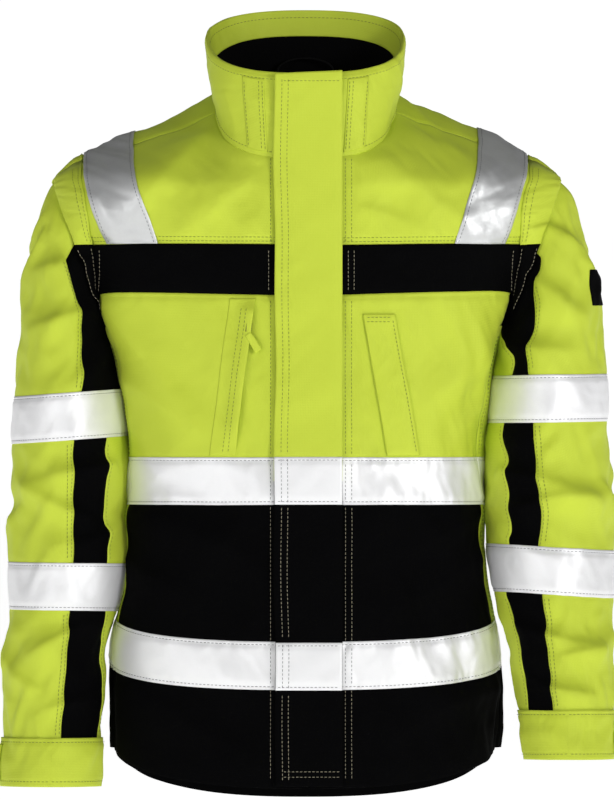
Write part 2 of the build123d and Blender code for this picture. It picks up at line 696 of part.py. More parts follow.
# ---- to the part's frame, and out ------------------------------------------------------------
ORIGIN = (0.0, LOOP_Y - 4.0, LOOP_Z + LOOP_DROP - LOOP_STRAP)


def main():
    os.makedirs("parts", exist_ok=True)
    for name, shape in parts.items():
        export_step(Pos(*[-v for v in ORIGIN]) * shape, f"parts/{name}.step")


main()
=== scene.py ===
"""Looks of the high-visibility work jacket: sewn fabric panels, tapes, stitching and closures.

Garment coordinates are in mm: +Z up, the front faces -Y, the wearer's left is +X, and z = 0 is
the lowest point of the back tail.  The frame's origin is the underside of the hanger loop's top.
"""
import math

import bpy
import numpy as np
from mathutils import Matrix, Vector


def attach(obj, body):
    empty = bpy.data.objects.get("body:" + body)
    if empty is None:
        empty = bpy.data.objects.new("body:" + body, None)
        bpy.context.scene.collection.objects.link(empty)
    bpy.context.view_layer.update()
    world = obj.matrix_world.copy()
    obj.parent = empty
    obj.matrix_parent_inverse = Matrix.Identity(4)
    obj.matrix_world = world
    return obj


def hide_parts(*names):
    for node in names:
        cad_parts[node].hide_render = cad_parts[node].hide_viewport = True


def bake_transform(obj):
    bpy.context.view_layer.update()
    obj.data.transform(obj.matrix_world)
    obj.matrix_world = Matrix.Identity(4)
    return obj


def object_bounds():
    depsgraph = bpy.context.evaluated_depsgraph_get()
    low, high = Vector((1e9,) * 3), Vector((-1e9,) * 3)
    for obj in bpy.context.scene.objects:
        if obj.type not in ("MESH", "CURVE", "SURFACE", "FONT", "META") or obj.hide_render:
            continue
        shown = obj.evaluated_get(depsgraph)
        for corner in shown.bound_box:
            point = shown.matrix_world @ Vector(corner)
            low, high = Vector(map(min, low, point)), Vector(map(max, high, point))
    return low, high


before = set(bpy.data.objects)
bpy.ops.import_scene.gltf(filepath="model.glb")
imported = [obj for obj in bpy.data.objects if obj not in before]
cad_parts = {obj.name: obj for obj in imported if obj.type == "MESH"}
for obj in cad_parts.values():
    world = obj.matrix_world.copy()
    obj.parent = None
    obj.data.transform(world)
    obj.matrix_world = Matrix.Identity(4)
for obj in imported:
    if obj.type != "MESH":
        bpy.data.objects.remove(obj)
CAD_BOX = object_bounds()
ORIGIN = np.array([0.0, 66.0, 769.0])
FULL_TURN = 2 * math.pi
ROOT = "jacket_body"

# ---- dimensions shared with the part --------------------------------------------------------
TAPE = 49.0                                     # width of the reflective tape that shows
CHEST_TAPE, LOW_FLAP_TAPE = 331.0, 140.0        # z of the tapes' middles
HEM_TAPE_FRONT, HEM_TAPE_BACK = 141.0, 169.0
HEM_TAPE_RISE = 23.0 / 104.0                    # of the front hem tape, towards the sides
BAND_LOW, BAND_HIGH = 522.0, 574.0              # z of the black chest band's edges
SIDE_LOW, NECK, RIM = 164.0, 715.0, 788.0       # hem seam at the sides and back, neck seam, rim
SQUARE = 2.5
FRONT_LOW, FRONT_TOP = (-130.0, 15.0), (-90.0, 757.0)
FRONT_SLOPE = (FRONT_TOP[0] - FRONT_LOW[0]) / (FRONT_TOP[1] - FRONT_LOW[1])
BODY_LEVELS = [
    (-25.0, 203.0, 124.0, 0.0), (60.0, 203.0, 125.0, 0.0), (150.0, 201.0, 124.0, 0.0),
    (240.0, 188.0, 118.0, 0.0), (330.0, 185.0, 118.0, 0.0), (420.0, 191.0, 122.0, 0.0),
    (510.0, 216.0, 124.0, 0.0), (574.0, 239.0, 120.0, 0.0), (640.0, 252.0, 108.0, 0.2),
    (664.0, 232.0, 98.0, 0.3), (684.0, 170.0, 90.0, 0.4), (703.0, 119.0, 84.0, 0.48),
    (715.0, 90.0, 80.0, 0.52),
]
COLLAR_LEVELS = [
    (711.0, 93.0, 81.0, 0.52), (717.0, 91.0, 80.3, 0.52), (740.0, 94.5, 80.4, 0.48),
    (764.0, 100.0, 80.5, 0.44), (788.0, 104.0, 81.0, 0.4),
]
# Sleeve rings: outer x and z, inner x and z, y of the middle, half depth.
SLEEVE_RINGS = {
    "right": [
        (252.5, 648.0, 200.0, 494.0, 0.0, 36.0), (268.0, 624.0, 200.0, 476.0, 0.0, 46.0),
        (281.0, 585.0, 197.5, 450.0, 0.0, 56.0), (290.0, 530.0, 196.0, 420.0, -1.0, 65.0),
        (297.0, 465.0, 194.0, 385.0, -3.0, 71.0), (303.0, 395.0, 191.0, 345.0, -6.0, 73.0),
        (305.0, 325.0, 189.5, 300.0, -9.0, 72.0), (306.0, 258.0, 191.0, 248.0, -15.0, 69.0),
        (307.0, 200.0, 199.0, 198.0, -21.0, 65.0), (311.0, 154.0, 206.5, 154.0, -27.0, 60.0),
        (313.0, 102.0, 208.5, 102.0, -34.0, 55.0), (313.0, 66.0, 211.0, 66.0, -39.0, 51.0),
        (313.5, 40.0, 212.5, 40.0, -42.0, 49.5), (314.0, 15.0, 214.0, 15.0, -44.0, 48.0),
    ],
    "left": [
        (253.0, 650.0, 200.0, 494.0, 0.0, 36.0), (275.0, 627.0, 200.0, 476.0, 0.0, 46.0),
        (289.0, 588.0, 197.5, 450.0, 0.0, 57.0), (300.0, 535.0, 196.0, 420.0, -2.0, 66.0),
        (309.0, 470.0, 194.0, 385.0, -5.0, 72.0), (314.0, 400.0, 191.0, 345.0, -11.0, 74.0),
        (317.0, 330.0, 190.0, 300.0, -18.0, 73.0), (317.0, 262.0, 193.0, 250.0, -29.0, 69.0),
        (319.0, 208.0, 201.0, 204.0, -41.0, 65.0), (318.0, 166.0, 209.0, 166.0, -54.0, 60.0),
        (318.0, 130.0, 215.0, 130.0, -66.0, 56.0), (318.0, 95.0, 220.0, 95.0, -79.0, 51.0),
        (317.0, 70.0, 223.0, 70.0, -86.0, 49.0), (316.0, 44.0, 227.0, 44.0, -94.0, 47.0),
    ],
}
CUFF_HIGH = 51.0
SIDES = (("right", -1), ("left", 1))
FLAP_FREE, FLAP_SEWN = -32.0, 38.0
FLAP_WIDE = FLAP_SEWN - FLAP_FREE

# ---- sewing ----------------------------------------------------------------------------------
SEAM_IN = 3.0                   # the groove of a tape's seam lies this far inside its edge
ROW_IN = 3.2                    # and its row of stitches this far
TAPE_ROWS = (TAPE / 2 - ROW_IN, -TAPE / 2 + ROW_IN)
ALL_SEWN = ("low", "high", "start", "end")
OPEN_HEM = ("high", "start", "end")
RINGED = ("low", "high")


# ---- numbers ---------------------------------------------------------------------------------
def curve(keys, values):
    """A smooth function through keys: a dense cubic Hermite, read by interpolation."""
    keys, values = np.asarray(keys, float), np.asarray(values, float)
    slopes = np.gradient(values, keys)
    dense = np.linspace(keys[0], keys[-1], 900)
    k = np.clip(np.searchsorted(keys, dense) - 1, 0, len(keys) - 2)
    step = keys[k + 1] - keys[k]
    t = (dense - keys[k]) / step
    read = (
        values[k] * (2 * t**3 - 3 * t**2 + 1) + values[k + 1] * (3 * t**2 - 2 * t**3)
        + step * slopes[k] * (t**3 - 2 * t**2 + t) + step * slopes[k + 1] * (t**3 - t**2)
    )
    return lambda x: np.interp(x, dense, read)


def line(points):
    """A broken line read by interpolation, given as (key, value) pairs."""
    points = sorted(points)
    keys, values = [p[0] for p in points], [p[1] for p in points]
    return lambda x: np.interp(x, keys, values)


def ease(x, low, high):
    t = np.clip((np.asarray(x, float) - low) / (high - low), 0, 1)
    return t * t * (3 - 2 * t)


class Noise:
    """Smooth seeded noise in the plane: warped sines, about -1 to 1."""

    def __init__(self, seed, waves=9):
        rng = np.random.default_rng(seed)
        turn = rng.uniform(0, 2 * math.pi, waves)
        size = rng.uniform(0.6, 1.6, waves)
        self.k = np.stack([np.cos(turn) * size, np.sin(turn) * size], 1)
        self.phase = rng.uniform(0, 2 * math.pi, waves)
        self.warp = rng.uniform(0, 2 * math.pi, 4)

    def __call__(self, a, b, scale, stretch=1.0):
        a, b = a / scale * 2 * math.pi, b / scale / stretch * 2 * math.pi
        wa = a + 1.3 * np.sin(0.37 * b + self.warp[0]) + 0.7 * np.sin(0.81 * b + 0.5 * a + self.warp[1])
        wb = b + 1.3 * np.sin(0.41 * a + self.warp[2]) + 0.7 * np.sin(0.73 * a - 0.4 * b + self.warp[3])
        total = 0
        for (ka, kb), phase in zip(self.k, self.phase):
            total = total + np.sin(ka * wa + kb * wb + phase)
        return total / math.sqrt(len(self.phase)) / 1.2


def fold(a, b, start, end, width, height, sharp=0.35):
    """A fold along a line in the plane: a soft ridge that fades out at both ends.

    A fold is steeper on one side, as cloth under its own weight is.
    """
    ax, az = start
    bx, bz = end
    run = np.array([bx - ax, bz - az])
    long = np.hypot(*run)
    run = run / long
    along = (a - ax) * run[0] + (b - az) * run[1]
    across = -(a - ax) * run[1] + (b - az) * run[0]
    across = across + 0.06 * long * np.sin(along / long * 2.6 + ax)
    share = np.clip(along / long, 0, 1)
    beyond = np.where(along < 0, -along, np.where(along > long, along - long, 0))
    wide = width * (0.7 + 0.6 * share)
    lean = np.where(across > 0, wide * (1 - sharp), wide * (1 + sharp))
    shape = np.exp(-((across / lean) ** 2)) - 0.45 * np.exp(-(((across - 1.9 * wide) / wide) ** 2))
    swell = 0.25 + 0.75 * np.sin(math.pi * np.clip(0.12 + 0.8 * share, 0, 1))
    fade = np.exp(-((beyond / (0.6 * width)) ** 2)) * swell
    return height * shape * fade


# ---- the body and collar as surfaces ---------------------------------------------------------
class Ringed:
    """A surface of turn (0 in front, a half turn behind, plus towards the left) and level."""

    def __init__(self, table, relief):
        levels = [row[0] for row in table]
        self.half = curve(levels, [row[1] for row in table])
        self.back = curve(levels, [row[2] for row in table])
        self.tilt = curve(levels, [row[3] for row in table])
        self.relief = relief

    def shape(self, level):
        tilt = self.tilt(level)
        front = -(FRONT_LOW[0] + (level - FRONT_LOW[1]) * FRONT_SLOPE) / (1 - FRONT_SLOPE * tilt)
        return self.half(level), front, self.back(level), tilt

    def base(self, turn, level):
        half, front, back, tilt = self.shape(level)
        c, s = np.cos(turn), np.sin(turn)
        x = half * np.sign(s) * np.abs(s) ** (2 / SQUARE)
        y = -np.where(c > 0, front, back) * np.sign(c) * np.abs(c) ** (2 / SQUARE)
        return np.stack([x, y, level + tilt * y], -1)

    def normal(self, turn, level):
        d, e = 2e-3, 0.5
        du = self.base(turn + d, level) - self.base(turn - d, level)
        dv = self.base(turn, level + e) - self.base(turn, level - e)
        n = np.cross(du, dv)
        return n / np.linalg.norm(n, axis=-1, keepdims=True)

    def point(self, turn, level, lift=0.0):
        p, n = self.base(turn, level), self.normal(turn, level)
        rise = self.relief(p, turn) + lift
        return p + n * np.asarray(rise)[..., None]

    def turn_x(self, level, x):
        half = self.shape(level)[0]
        return np.sign(x) * np.arcsin(np.clip(np.abs(x) / half, 0, 1) ** (SQUARE / 2))

    def turn_y(self, level, y, side):
        _, front, back, _ = self.shape(level)
        depth = np.where(np.asarray(y) <= 0, front, back)
        t = np.arccos(np.clip(np.abs(y) / depth, 0, 1) ** (SQUARE / 2))
        return side * np.where(np.asarray(y) <= 0, t, math.pi - t)


broad, middling, small = Noise(3), Noise(11), Noise(29)
side_noise = Noise(41)

FRONT_FOLDS = [
    # start, end, width, height, in the front view
    ((-80, 700), (-205, 600), 17, 2.6), ((-60, 640), (-150, 585), 15, 1.6),
    ((-228, 640), (-190, 585), 11, 1.8), ((85, 706), (180, 640), 18, 2.4),
    ((62, 668), (190, 588), 19, 2.6), ((60, 610), (120, 585), 13, 1.4),
    ((228, 640), (198, 585), 11, 1.8), ((-215, 500), (-110, 395), 20, 3.0),
    ((-205, 455), (-120, 370), 16, 2.2), ((-196, 410), (-150, 340), 14, 2.0),
    ((210, 500), (120, 420), 20, 2.6), ((196, 455), (110, 372), 17, 2.4),
    ((188, 420), (150, 352), 14, 2.0), ((-185, 300), (-60, 240), 22, 2.4),
    ((-60, 300), (-150, 215), 20, 1.6), ((180, 305), (70, 250), 20, 2.6),
    ((185, 250), (80, 205), 18, 1.8), ((-195, 255), (-110, 210), 16, 2.0),
    ((-190, 110), (-70, 60), 18, 2.0), ((195, 115), (90, 70), 18, 2.2),
    ((-120, 105), (-60, 40), 16, 1.2), ((60, 110), (110, 45), 16, 1.2),
]
BACK_FOLDS = [
    ((-150, 680), (-60, 600), 22, 2.6), ((150, 680), (70, 610), 22, 2.6),
    ((-200, 560), (-90, 470), 22, 3.4), ((200, 560), (90, 480), 22, 3.2),
    ((-190, 480), (-60, 400), 20, 2.6), ((185, 470), (80, 380), 20, 2.8),
    ((-30, 620), (10, 480), 24, 1.8), ((-160, 290), (-20, 230), 24, 3.0),
    ((170, 300), (40, 215), 24, 2.8), ((-60, 330), (60, 260), 22, 1.8),
    ((-170, 120), (-60, 50), 20, 2.0), ((160, 115), (60, 40), 20, 2.2),
]
COLLAR_FOLDS = [
    ((-84, 730), (-70, 676), 8, 1.8), ((-98, 760), (-88, 700), 7, 1.5),
    ((86, 735), (76, 680), 8, 1.8), ((98, 760), (92, 705), 7, 1.4),
]


def hem_tape_middle(y):
    """z of the middle of the lower tape: it rises to the sides in front and is level behind."""
    front = HEM_TAPE_FRONT + (np.asarray(y) + 123.0) * HEM_TAPE_RISE
    return np.where(np.asarray(y) < 0, front, HEM_TAPE_BACK)


def seam_groove(distance, width=2.6, depth=1.0):
    return -depth * np.exp(-((distance / width) ** 2))


def body_relief(p, turn):
    """How far the worn cloth stands off the plain shape."""
    x, y, z = p[..., 0], p[..., 1], p[..., 2]
    front = np.cos(turn) > 0
    ahead = np.zeros_like(x)
    behind = np.zeros_like(x)
    for start, end, width, height in FRONT_FOLDS:
        ahead = ahead + fold(x, z, start, end, width, 2.1 * height)
    for start, end, width, height in BACK_FOLDS:
        behind = behind + fold(x, z, start, end, width, 1.5 * height)
    strip = np.clip(np.abs(x) / 48.0, 0, 1) ** 2
    fade = ease(np.abs(y), 6, 40)
    rise = np.where(front, ahead * strip, behind) * fade
    arc = x + 0.6 * y
    soft = broad(arc, z, 150.0) * 2.2 + middling(arc, z, 62.0, 1.5) * 1.2 + small(arc, z, 24.0, 1.4) * 0.3
    rise = rise + soft * np.where(front, 0.25 + 0.75 * strip, 1.0)
    # the wadding is pulled in along sewn lines, with small puckers beside them
    seams = []
    for middle in (CHEST_TAPE, hem_tape_middle(y)):
        seams += [z - middle - TAPE / 2 + SEAM_IN, z - middle + TAPE / 2 - SEAM_IN]
    seams += [z - (BAND_HIGH + 5.0), z - BAND_LOW]
    pucker = side_noise(arc, z, 17.0, 4.0)
    for distance in seams:
        near = np.exp(-((distance / 9.0) ** 2))
        rise = rise + seam_groove(distance, 3.2, 1.1) + 0.45 * near * pucker
    # gathers of the elastic at the sides of the hem
    gather = ease(-np.abs(y), -48, -34) * ease(-z, -150, -128)
    rise = rise + gather * (1.5 * np.sin(y / 9.5 * 2 * math.pi + 0.6 * np.sin(z / 17.0)) - 1.2)
    # the front hem pulls in a little
    rise = rise - 2.0 * ease(-z, -40, -16) * np.where(front, 1.0, 0.4)
    return rise * ease(716.0 - z + 0.52 * y, 0, 14)


def collar_relief(p, turn):
    """The collar bulges between its seams, and small folds run down into the neck seam."""
    x, y, z = p[..., 0], p[..., 1], p[..., 2]
    arc = x + 0.7 * y
    rise = broad(arc, z, 90.0) * 1.1 + middling(arc, z, 40.0) * 0.5 + small(arc, z, 17.0) * 0.18
    rise = rise + 1.6 * np.sin(np.clip((z - 0.46 * y - 713.0) / 75.0, 0, 1) * math.pi)
    for start, end, width, height in COLLAR_FOLDS:
        rise = rise + np.where(np.cos(turn) > -0.2, fold(x, z, start, end, width, height), 0)
    calm = np.clip(np.abs(x) / 40.0, 0, 1) ** 2
    return rise * np.where(np.cos(turn) > 0, calm, 1.0)


body = Ringed(BODY_LEVELS, body_relief)
collar = Ringed(COLLAR_LEVELS, collar_relief)


# ---- sleeves as surfaces ---------------------------------------------------------------------
SLEEVE_FOLDS = {
    # place round the arm (mm, 0 in front, minus towards the body), height, width, how proud
    "right": [
        ((-10, 560), (75, 540), 12, 3.2), ((-30, 520), (60, 480), 13, 3.0),
        ((70, 590), (115, 520), 11, 2.6), ((-70, 470), (30, 420), 13, 2.8),
        ((-60, 350), (50, 318), 13, 3.6), ((-30, 300), (80, 330), 12, 3.2),
        ((-75, 290), (20, 262), 11, 2.8), ((60, 300), (130, 260), 14, 3.0),
        ((-40, 180), (50, 140), 12, 3.2), ((20, 120), (95, 150), 12, 2.8),
        ((-60, 110), (20, 84), 10, 2.4), ((140, 480), (210, 420), 16, 3.4),
        ((150, 330), (230, 280), 16, 3.6), ((150, 170), (220, 120), 14, 3.0),
    ],
    "left": [
        ((10, 600), (90, 555), 12, 3.4), ((-20, 545), (60, 500), 13, 3.4),
        ((60, 560), (120, 520), 12, 2.6), ((-60, 470), (40, 455), 12, 2.6),
        ((-60, 345), (55, 300), 13, 4.0), ((-40, 298), (70, 318), 11, 3.2),
        ((-70, 275), (10, 250), 11, 3.0), ((70, 330), (140, 280), 14, 3.2),
        ((-55, 190), (50, 150), 12, 3.6), ((0, 150), (90, 175), 12, 3.0),
        ((-50, 130), (40, 110), 10, 2.8), ((140, 480), (210, 420), 16, 3.4),
        ((150, 330), (230, 280), 16, 3.6), ((150, 190), (220, 150), 14, 3.0),
    ],
}
SLEEVE_TAPES = {                # z of the middle, and how much it rises outwards for each mm
    "right": ((397.0, -0.07), (222.0, 0.01)),
    "left": ((416.0, 0.02), (238.0, -0.07)),
}
ARM_RADIUS = 68.0               # turns a turn round the sleeve into a length


class Sleeve:
    """A surface of turn (0 in front, a quarter on the outer side) and way down, 0 to 1."""

    def __init__(self, name, side):
        self.name, self.side = name, side
        rings = np.array(SLEEVE_RINGS[name])
        way = np.linspace(0, 1, len(rings))
        self.read = [curve(way, rings[:, k]) for k in range(6)]
        self.noise = [Noise(seed + (50 if side > 0 else 0)) for seed in (5, 17, 31)]

    def base(self, turn, way):
        ox, oz, ix, iz, mid, depth = (r(way) for r in self.read)
        s, c = np.sin(turn), np.cos(turn)
        x = (ox + ix) / 2 + (ox - ix) / 2 * s
        z = (oz + iz) / 2 + (oz - iz) / 2 * s
        flat = 1 + 0.05 * np.cos(2 * turn)
        return np.stack([self.side * x, mid - depth * c * flat, z], -1)

    def normal(self, turn, way):
        d, e = 2e-3, 1e-3
        du = self.base(turn + d, way) - self.base(turn - d, way)
        way = np.clip(way, e, 1 - e)
        dv = self.base(turn, way - e) - self.base(turn, way + e)
        n = self.side * np.cross(du, dv)
        return n / np.linalg.norm(n, axis=-1, keepdims=True)

    def relief(self, p, turn, way):
        """How far the worn cloth stands off the plain sleeve."""
        round_ = np.arctan2(np.sin(turn), np.cos(turn)) * ARM_RADIUS
        z = p[..., 2]
        rise = np.zeros_like(z)
        for start, end, width, height in SLEEVE_FOLDS[self.name]:
            for shift in (0.0, -FULL_TURN * ARM_RADIUS, FULL_TURN * ARM_RADIUS):
                rise = rise + fold(round_ - shift, z, start, end, 0.85 * width, 1.75 * height)
        s, c = np.sin(turn), np.cos(turn)
        a = 80 * s + z * 0.15
        layers = zip(self.noise, (80, -60, 50), (120.0, 55.0, 22.0), (2.2, 1.3, 0.25))
        for noise, turned, scale, depth in layers:
            rise = rise + noise(a + turned * c, z, scale) * depth
        for z_mid, slope in SLEEVE_TAPES[self.name]:
            level = z_mid + slope * (np.abs(p[..., 0]) - 250.0)
            calm = np.exp(-(((z - level) / (0.62 * TAPE)) ** 4))
            rise = rise * (1 - 0.55 * calm)
            for edge in (-1, 1):
                rise = rise + seam_groove(z - level - edge * (TAPE / 2 - SEAM_IN), 3.0, 1.0)
        ends = ease(way, 0.0, 0.06) * ease(1 - way, 0.0, 0.1)
        # the soft inner side of the hanging sleeve fills out towards the trunk
        fill = 8.0 if self.side < 0 else 5.0
        lean = np.clip(-np.sin(turn), 0, 1) ** 2 * ease(z, 150, 235) * ease(-z, -500, -400)
        return rise * (0.15 + 0.85 * ends) + fill * lean

    def point(self, turn, way, lift=0.0):
        p, n = self.base(turn, way), self.normal(turn, way)
        rise = self.relief(p, turn, way) + lift
        return p + n * np.asarray(rise)[..., None]

    def way_at(self, turn, z):
        """Way down at which the plain surface passes a height, for arrays of equal shape."""
        low, high = np.zeros(np.shape(turn)), np.ones(np.shape(turn))
        for _ in range(26):
            mid = (low + high) / 2
            above = self.base(turn, mid)[..., 2] > z
            low, high = np.where(above, mid, low), np.where(above, high, mid)
        return (low + high) / 2


sleeves = {name: Sleeve(name, side) for name, side in SIDES}

# ---- meshes ----------------------------------------------------------------------------------
made = {}


def new_mesh(name, points, faces, smooth=True, uv=None):
    points = (np.asarray(points).reshape(-1, 3) - ORIGIN) / 1000.0
    mesh = bpy.data.meshes.new(name)
    mesh.from_pydata(points.tolist(), [], [list(map(int, f)) for f in faces])
    if uv is not None:
        layer = mesh.uv_layers.new(name="cloth")
        loops = np.zeros(len(mesh.loops), int)
        mesh.loops.foreach_get("vertex_index", loops)
        layer.data.foreach_set("uv", np.asarray(uv).reshape(-1, 2)[loops].ravel())
    if smooth:
        mesh.polygons.foreach_set("use_smooth", np.ones(len(mesh.polygons), bool))
    mesh.update()
    obj = bpy.data.objects.new(name, mesh)
    bpy.context.scene.collection.objects.link(obj)
    made[name] = obj
    return obj


def grid_faces(rows, columns, start=0, flip=False, closed=False):
    r, c = np.meshgrid(np.arange(rows - 1), np.arange(columns if closed else columns - 1), indexing="ij")
    a = r * columns + c
    b = r * columns + (c + 1) % columns
    quad = np.stack([a, b, b + columns, a + columns], -1).reshape(-1, 4) + start
    return quad[:, ::-1] if flip else quad


def cloth_sheet(name, outer, inner, closed=False):
    """A sheet with its own thickness: an outer and an inner grid joined round their edges."""
    rows, columns = outer.shape[:2]
    count = rows * columns
    faces = [grid_faces(rows, columns, 0, False, closed), grid_faces(rows, columns, count, True, closed)]

    def rim(indices, flip):
        a, b = indices[:-1], indices[1:]
        quad = np.stack([b, a, a + count, b + count], -1)
        return quad[:, ::-1] if flip else quad

    index = np.arange(count).reshape(rows, columns)
    ring = (lambda row: np.append(row, row[0])) if closed else (lambda row: row)
    faces += [rim(ring(index[0]), False), rim(ring(index[-1]), True)]
    if not closed:
        faces += [rim(index[:, 0], True), rim(index[:, -1], False)]
    step_u = np.linalg.norm(np.diff(outer, axis=1), axis=-1)
    u = np.concatenate([np.zeros((rows, 1)), np.cumsum(step_u, 1)], 1)
    step_v = np.linalg.norm(np.diff(outer, axis=0), axis=-1)
    v = np.concatenate([np.zeros((1, columns)), np.cumsum(step_v, 0)], 0)
    uv = np.stack([u, v], -1) / 1000.0
    points = np.concatenate([outer.reshape(-1, 3), inner.reshape(-1, 3)])
    obj = new_mesh(name, points, np.concatenate(faces), True, np.concatenate([uv.reshape(-1, 2)] * 2))
    return obj


def edge_dip(rows, columns, edges, depth=1.1, reach=2.2):
    """Turns the border of a panel down into its seam; edges names the borders that are sewn."""
    dip = np.zeros((rows, columns))
    i, j = np.meshgrid(np.arange(rows), np.arange(columns), indexing="ij")
    for edge, far in (("low", i), ("high", rows - 1 - i), ("start", j), ("end", columns - 1 - j)):
        if edge in edges:
            dip = np.maximum(dip, np.exp(-((far / reach) ** 2)))
    return -depth * dip


def as_function(place):
    """A level, height or turn may be given as a number or as a function."""
    return place if callable(place) else (lambda t: place + 0 * t)


def ringed_panel(name, surface, low, high, start, end, lift=0.0, thick=1.6, step=2.6,
                 sewn=ALL_SEWN, dip=1.1, extra=None):
    """A panel of the body or collar between two levels and two turns.

    start and end are functions of the level that give a turn; low and high are levels, or
    functions of the turn.
    """
    passes = 3 if (callable(low) or callable(high)) else 1
    low, high = as_function(low), as_function(high)
    low_mean, high_mean = float(np.mean(low(np.zeros(40)))), float(np.mean(high(np.zeros(40))))
    rows = max(6, int(abs(high_mean - low_mean) / step) + 1)
    middle = (low_mean + high_mean) / 2
    dense = np.linspace(start(middle), end(middle), 200)
    wide = np.linalg.norm(np.diff(surface.base(dense, np.full(200, middle)), axis=0), axis=-1).sum()
    columns = max(5, int(wide / step) + 1)
    u = np.linspace(0, 1, columns)
    turns, levels = np.zeros((rows, columns)), np.zeros((rows, columns))
    for i, share in enumerate(np.linspace(0, 1, rows)):
        level = np.full(200, low_mean + (high_mean - low_mean) * share)
        for _ in range(passes):
            t = np.linspace(float(start(level[0])), float(end(level[-1])), 200)
            lowest, highest = low(t), high(t)
            level = lowest + (highest - lowest) * share
        p = surface.base(t, level)
        far = np.concatenate([[0], np.cumsum(np.linalg.norm(np.diff(p, axis=0), axis=-1))])
        turns[i] = np.interp(u * far[-1], far, t)
        levels[i] = np.interp(u * far[-1], far, level)
    rise = lift + edge_dip(rows, columns, sewn, dip)
    if extra is not None:
        rise = rise + extra(surface.base(turns, levels), turns)
    return cloth_sheet(name, surface.point(turns, levels, rise), surface.point(turns, levels, rise - thick))


def sleeve_panel(name, sleeve, top, bottom, start, end, lift=0.0, thick=1.6, step=2.8,
                 sewn=ALL_SEWN, dip=1.0, closed=False, extra=None):
    """A panel of a sleeve between two heights z and two turns, each a number or a function.

    top is None for a panel that starts at the armhole.
    """
    bottom, start, end = as_function(bottom), as_function(start), as_function(end)
    high = 640.0 if top is None else float(np.mean(as_function(top)(np.linspace(0, 1, 90))))
    low = float(np.mean(bottom(np.linspace(0, 1, 90))))
    rows = max(5, int((high - low) / step) + 1)
    half = np.array([0.5])
    girth = 360.0 * abs(float(np.mean(end(half) - start(half)))) / FULL_TURN
    columns = max(5, int(girth / step) + 1)
    u = np.linspace(0, 1, columns, endpoint=not closed)
    turns, ways = np.zeros((rows, columns)), np.zeros((rows, columns))
    for i, share in enumerate(np.linspace(0, 1, rows)):
        way = ways[i - 1] if i else np.zeros(columns)
        for _ in range(4):
            t = start(way) * (1 - u) + end(way) * u
            first = np.zeros(columns) if top is None else sleeve.way_at(t, as_function(top)(t))
            last = sleeve.way_at(t, bottom(t))
            way = first + (last - first) * share
        turns[i], ways[i] = t, way
    rise = lift + edge_dip(rows, columns, sewn, dip)
    if extra is not None:
        rise = rise + extra(sleeve.base(turns, ways), turns)
    outer, inner = sleeve.point(turns, ways, rise), sleeve.point(turns, ways, rise - thick)
    if sleeve.side > 0:
        outer, inner = outer[::-1], inner[::-1]
    return cloth_sheet(name, outer, inner, closed)


# ---- stitches --------------------------------------------------------------------------------
stitch_lines = {}
STITCH, STITCH_GAP, THREAD, THREAD_LIFT = 2.7, 1.5, 0.42, 0.16      # lengths, thickness, lift
# along the stitch, thickness and rise of the four rings of a stitch, and the corners of a ring
STITCH_RINGS = ((0.0, 0.35, -0.35), (0.18, 1.0, 0.0), (0.82, 1.0, 0.0), (1.0, 0.35, -0.35))
RING_CORNERS = ((-0.5, 0.0), (0.0, 0.5), (0.5, 0.0), (0.0, -0.5))


def stitch(group, points, normals):
    """Thread along a line of points: one short rounded bar for each stitch."""
    far = np.concatenate([[0], np.cumsum(np.linalg.norm(np.diff(points, axis=0), axis=-1))])
    starts = np.arange(STITCH_GAP, far[-1] - STITCH, STITCH + STITCH_GAP)

    def at(d, values):
        return np.stack([np.interp(d, far, values[:, k]) for k in range(3)], -1)

    a, b = at(starts, points), at(starts + STITCH, points)
    n = at(starts + STITCH / 2, normals)
    n /= np.linalg.norm(n, axis=-1, keepdims=True)
    run = b - a
    run /= np.linalg.norm(run, axis=-1, keepdims=True)
    stitch_lines.setdefault(group, []).append((a, b, n, np.cross(run, n)))


def stitch_faces(base):
    """The faces of one stitch, whose sixteen points start at base."""
    faces = []
    for r in range(3):
        for q in range(4):
            first, second = base + r * 4 + q, base + r * 4 + (q + 1) % 4
            faces.append((first, second, second + 4, first + 4))
    faces.append((base + 3, base + 2, base + 1, base))
    faces.append((base + 12, base + 13, base + 14, base + 15))
    return faces


def build_stitches():
    for group, chunks in stitch_lines.items():
        points, faces = [], []
        for a, b, n, side in chunks:
            for k in range(len(a)):
                faces += stitch_faces(len(points))
                for share, size, rise in STITCH_RINGS:
                    c = a[k] + (b[k] - a[k]) * share + n[k] * (THREAD_LIFT + rise * THREAD)
                    for ds, dn in RING_CORNERS:
                        points.append(c + side[k] * ds * THREAD * 1.25 * size + n[k] * dn * THREAD * size)
        new_mesh(f"stitches_{group}", points, faces)


def sew(group, surface, turns, places, lift=0.0):
    """A row on the body, the collar or a sleeve; places are levels, or ways down a sleeve."""
    turns, places = np.broadcast_arrays(np.asarray(turns, float), np.asarray(places, float))
    stitch(group, surface.point(turns, places, lift), surface.normal(turns, places))


# ---- materials -------------------------------------------------------------------------------
def nodes_of(name):
    material = bpy.data.materials.new(name)
    material.use_nodes = True
    tree = material.node_tree
    return material, tree, tree.nodes["Principled BSDF"]


def add(tree, kind, **values):
    node = tree.nodes.new(kind)
    for key, value in values.items():
        if key in node.inputs:
            node.inputs[key].default_value = value
        else:
            setattr(node, key, value)
    return node


def grain(tree, space, scale, detail, roughness=0.5, distortion=0.0):
    """Noise in the piece's own space."""
    values = {"Scale": scale, "Detail": detail, "Roughness": roughness, "Distortion": distortion}
    node = add(tree, "ShaderNodeTexNoise", **values)
    tree.links.new(space.outputs["Object"], node.inputs["Vector"])
    return node.outputs["Fac"]


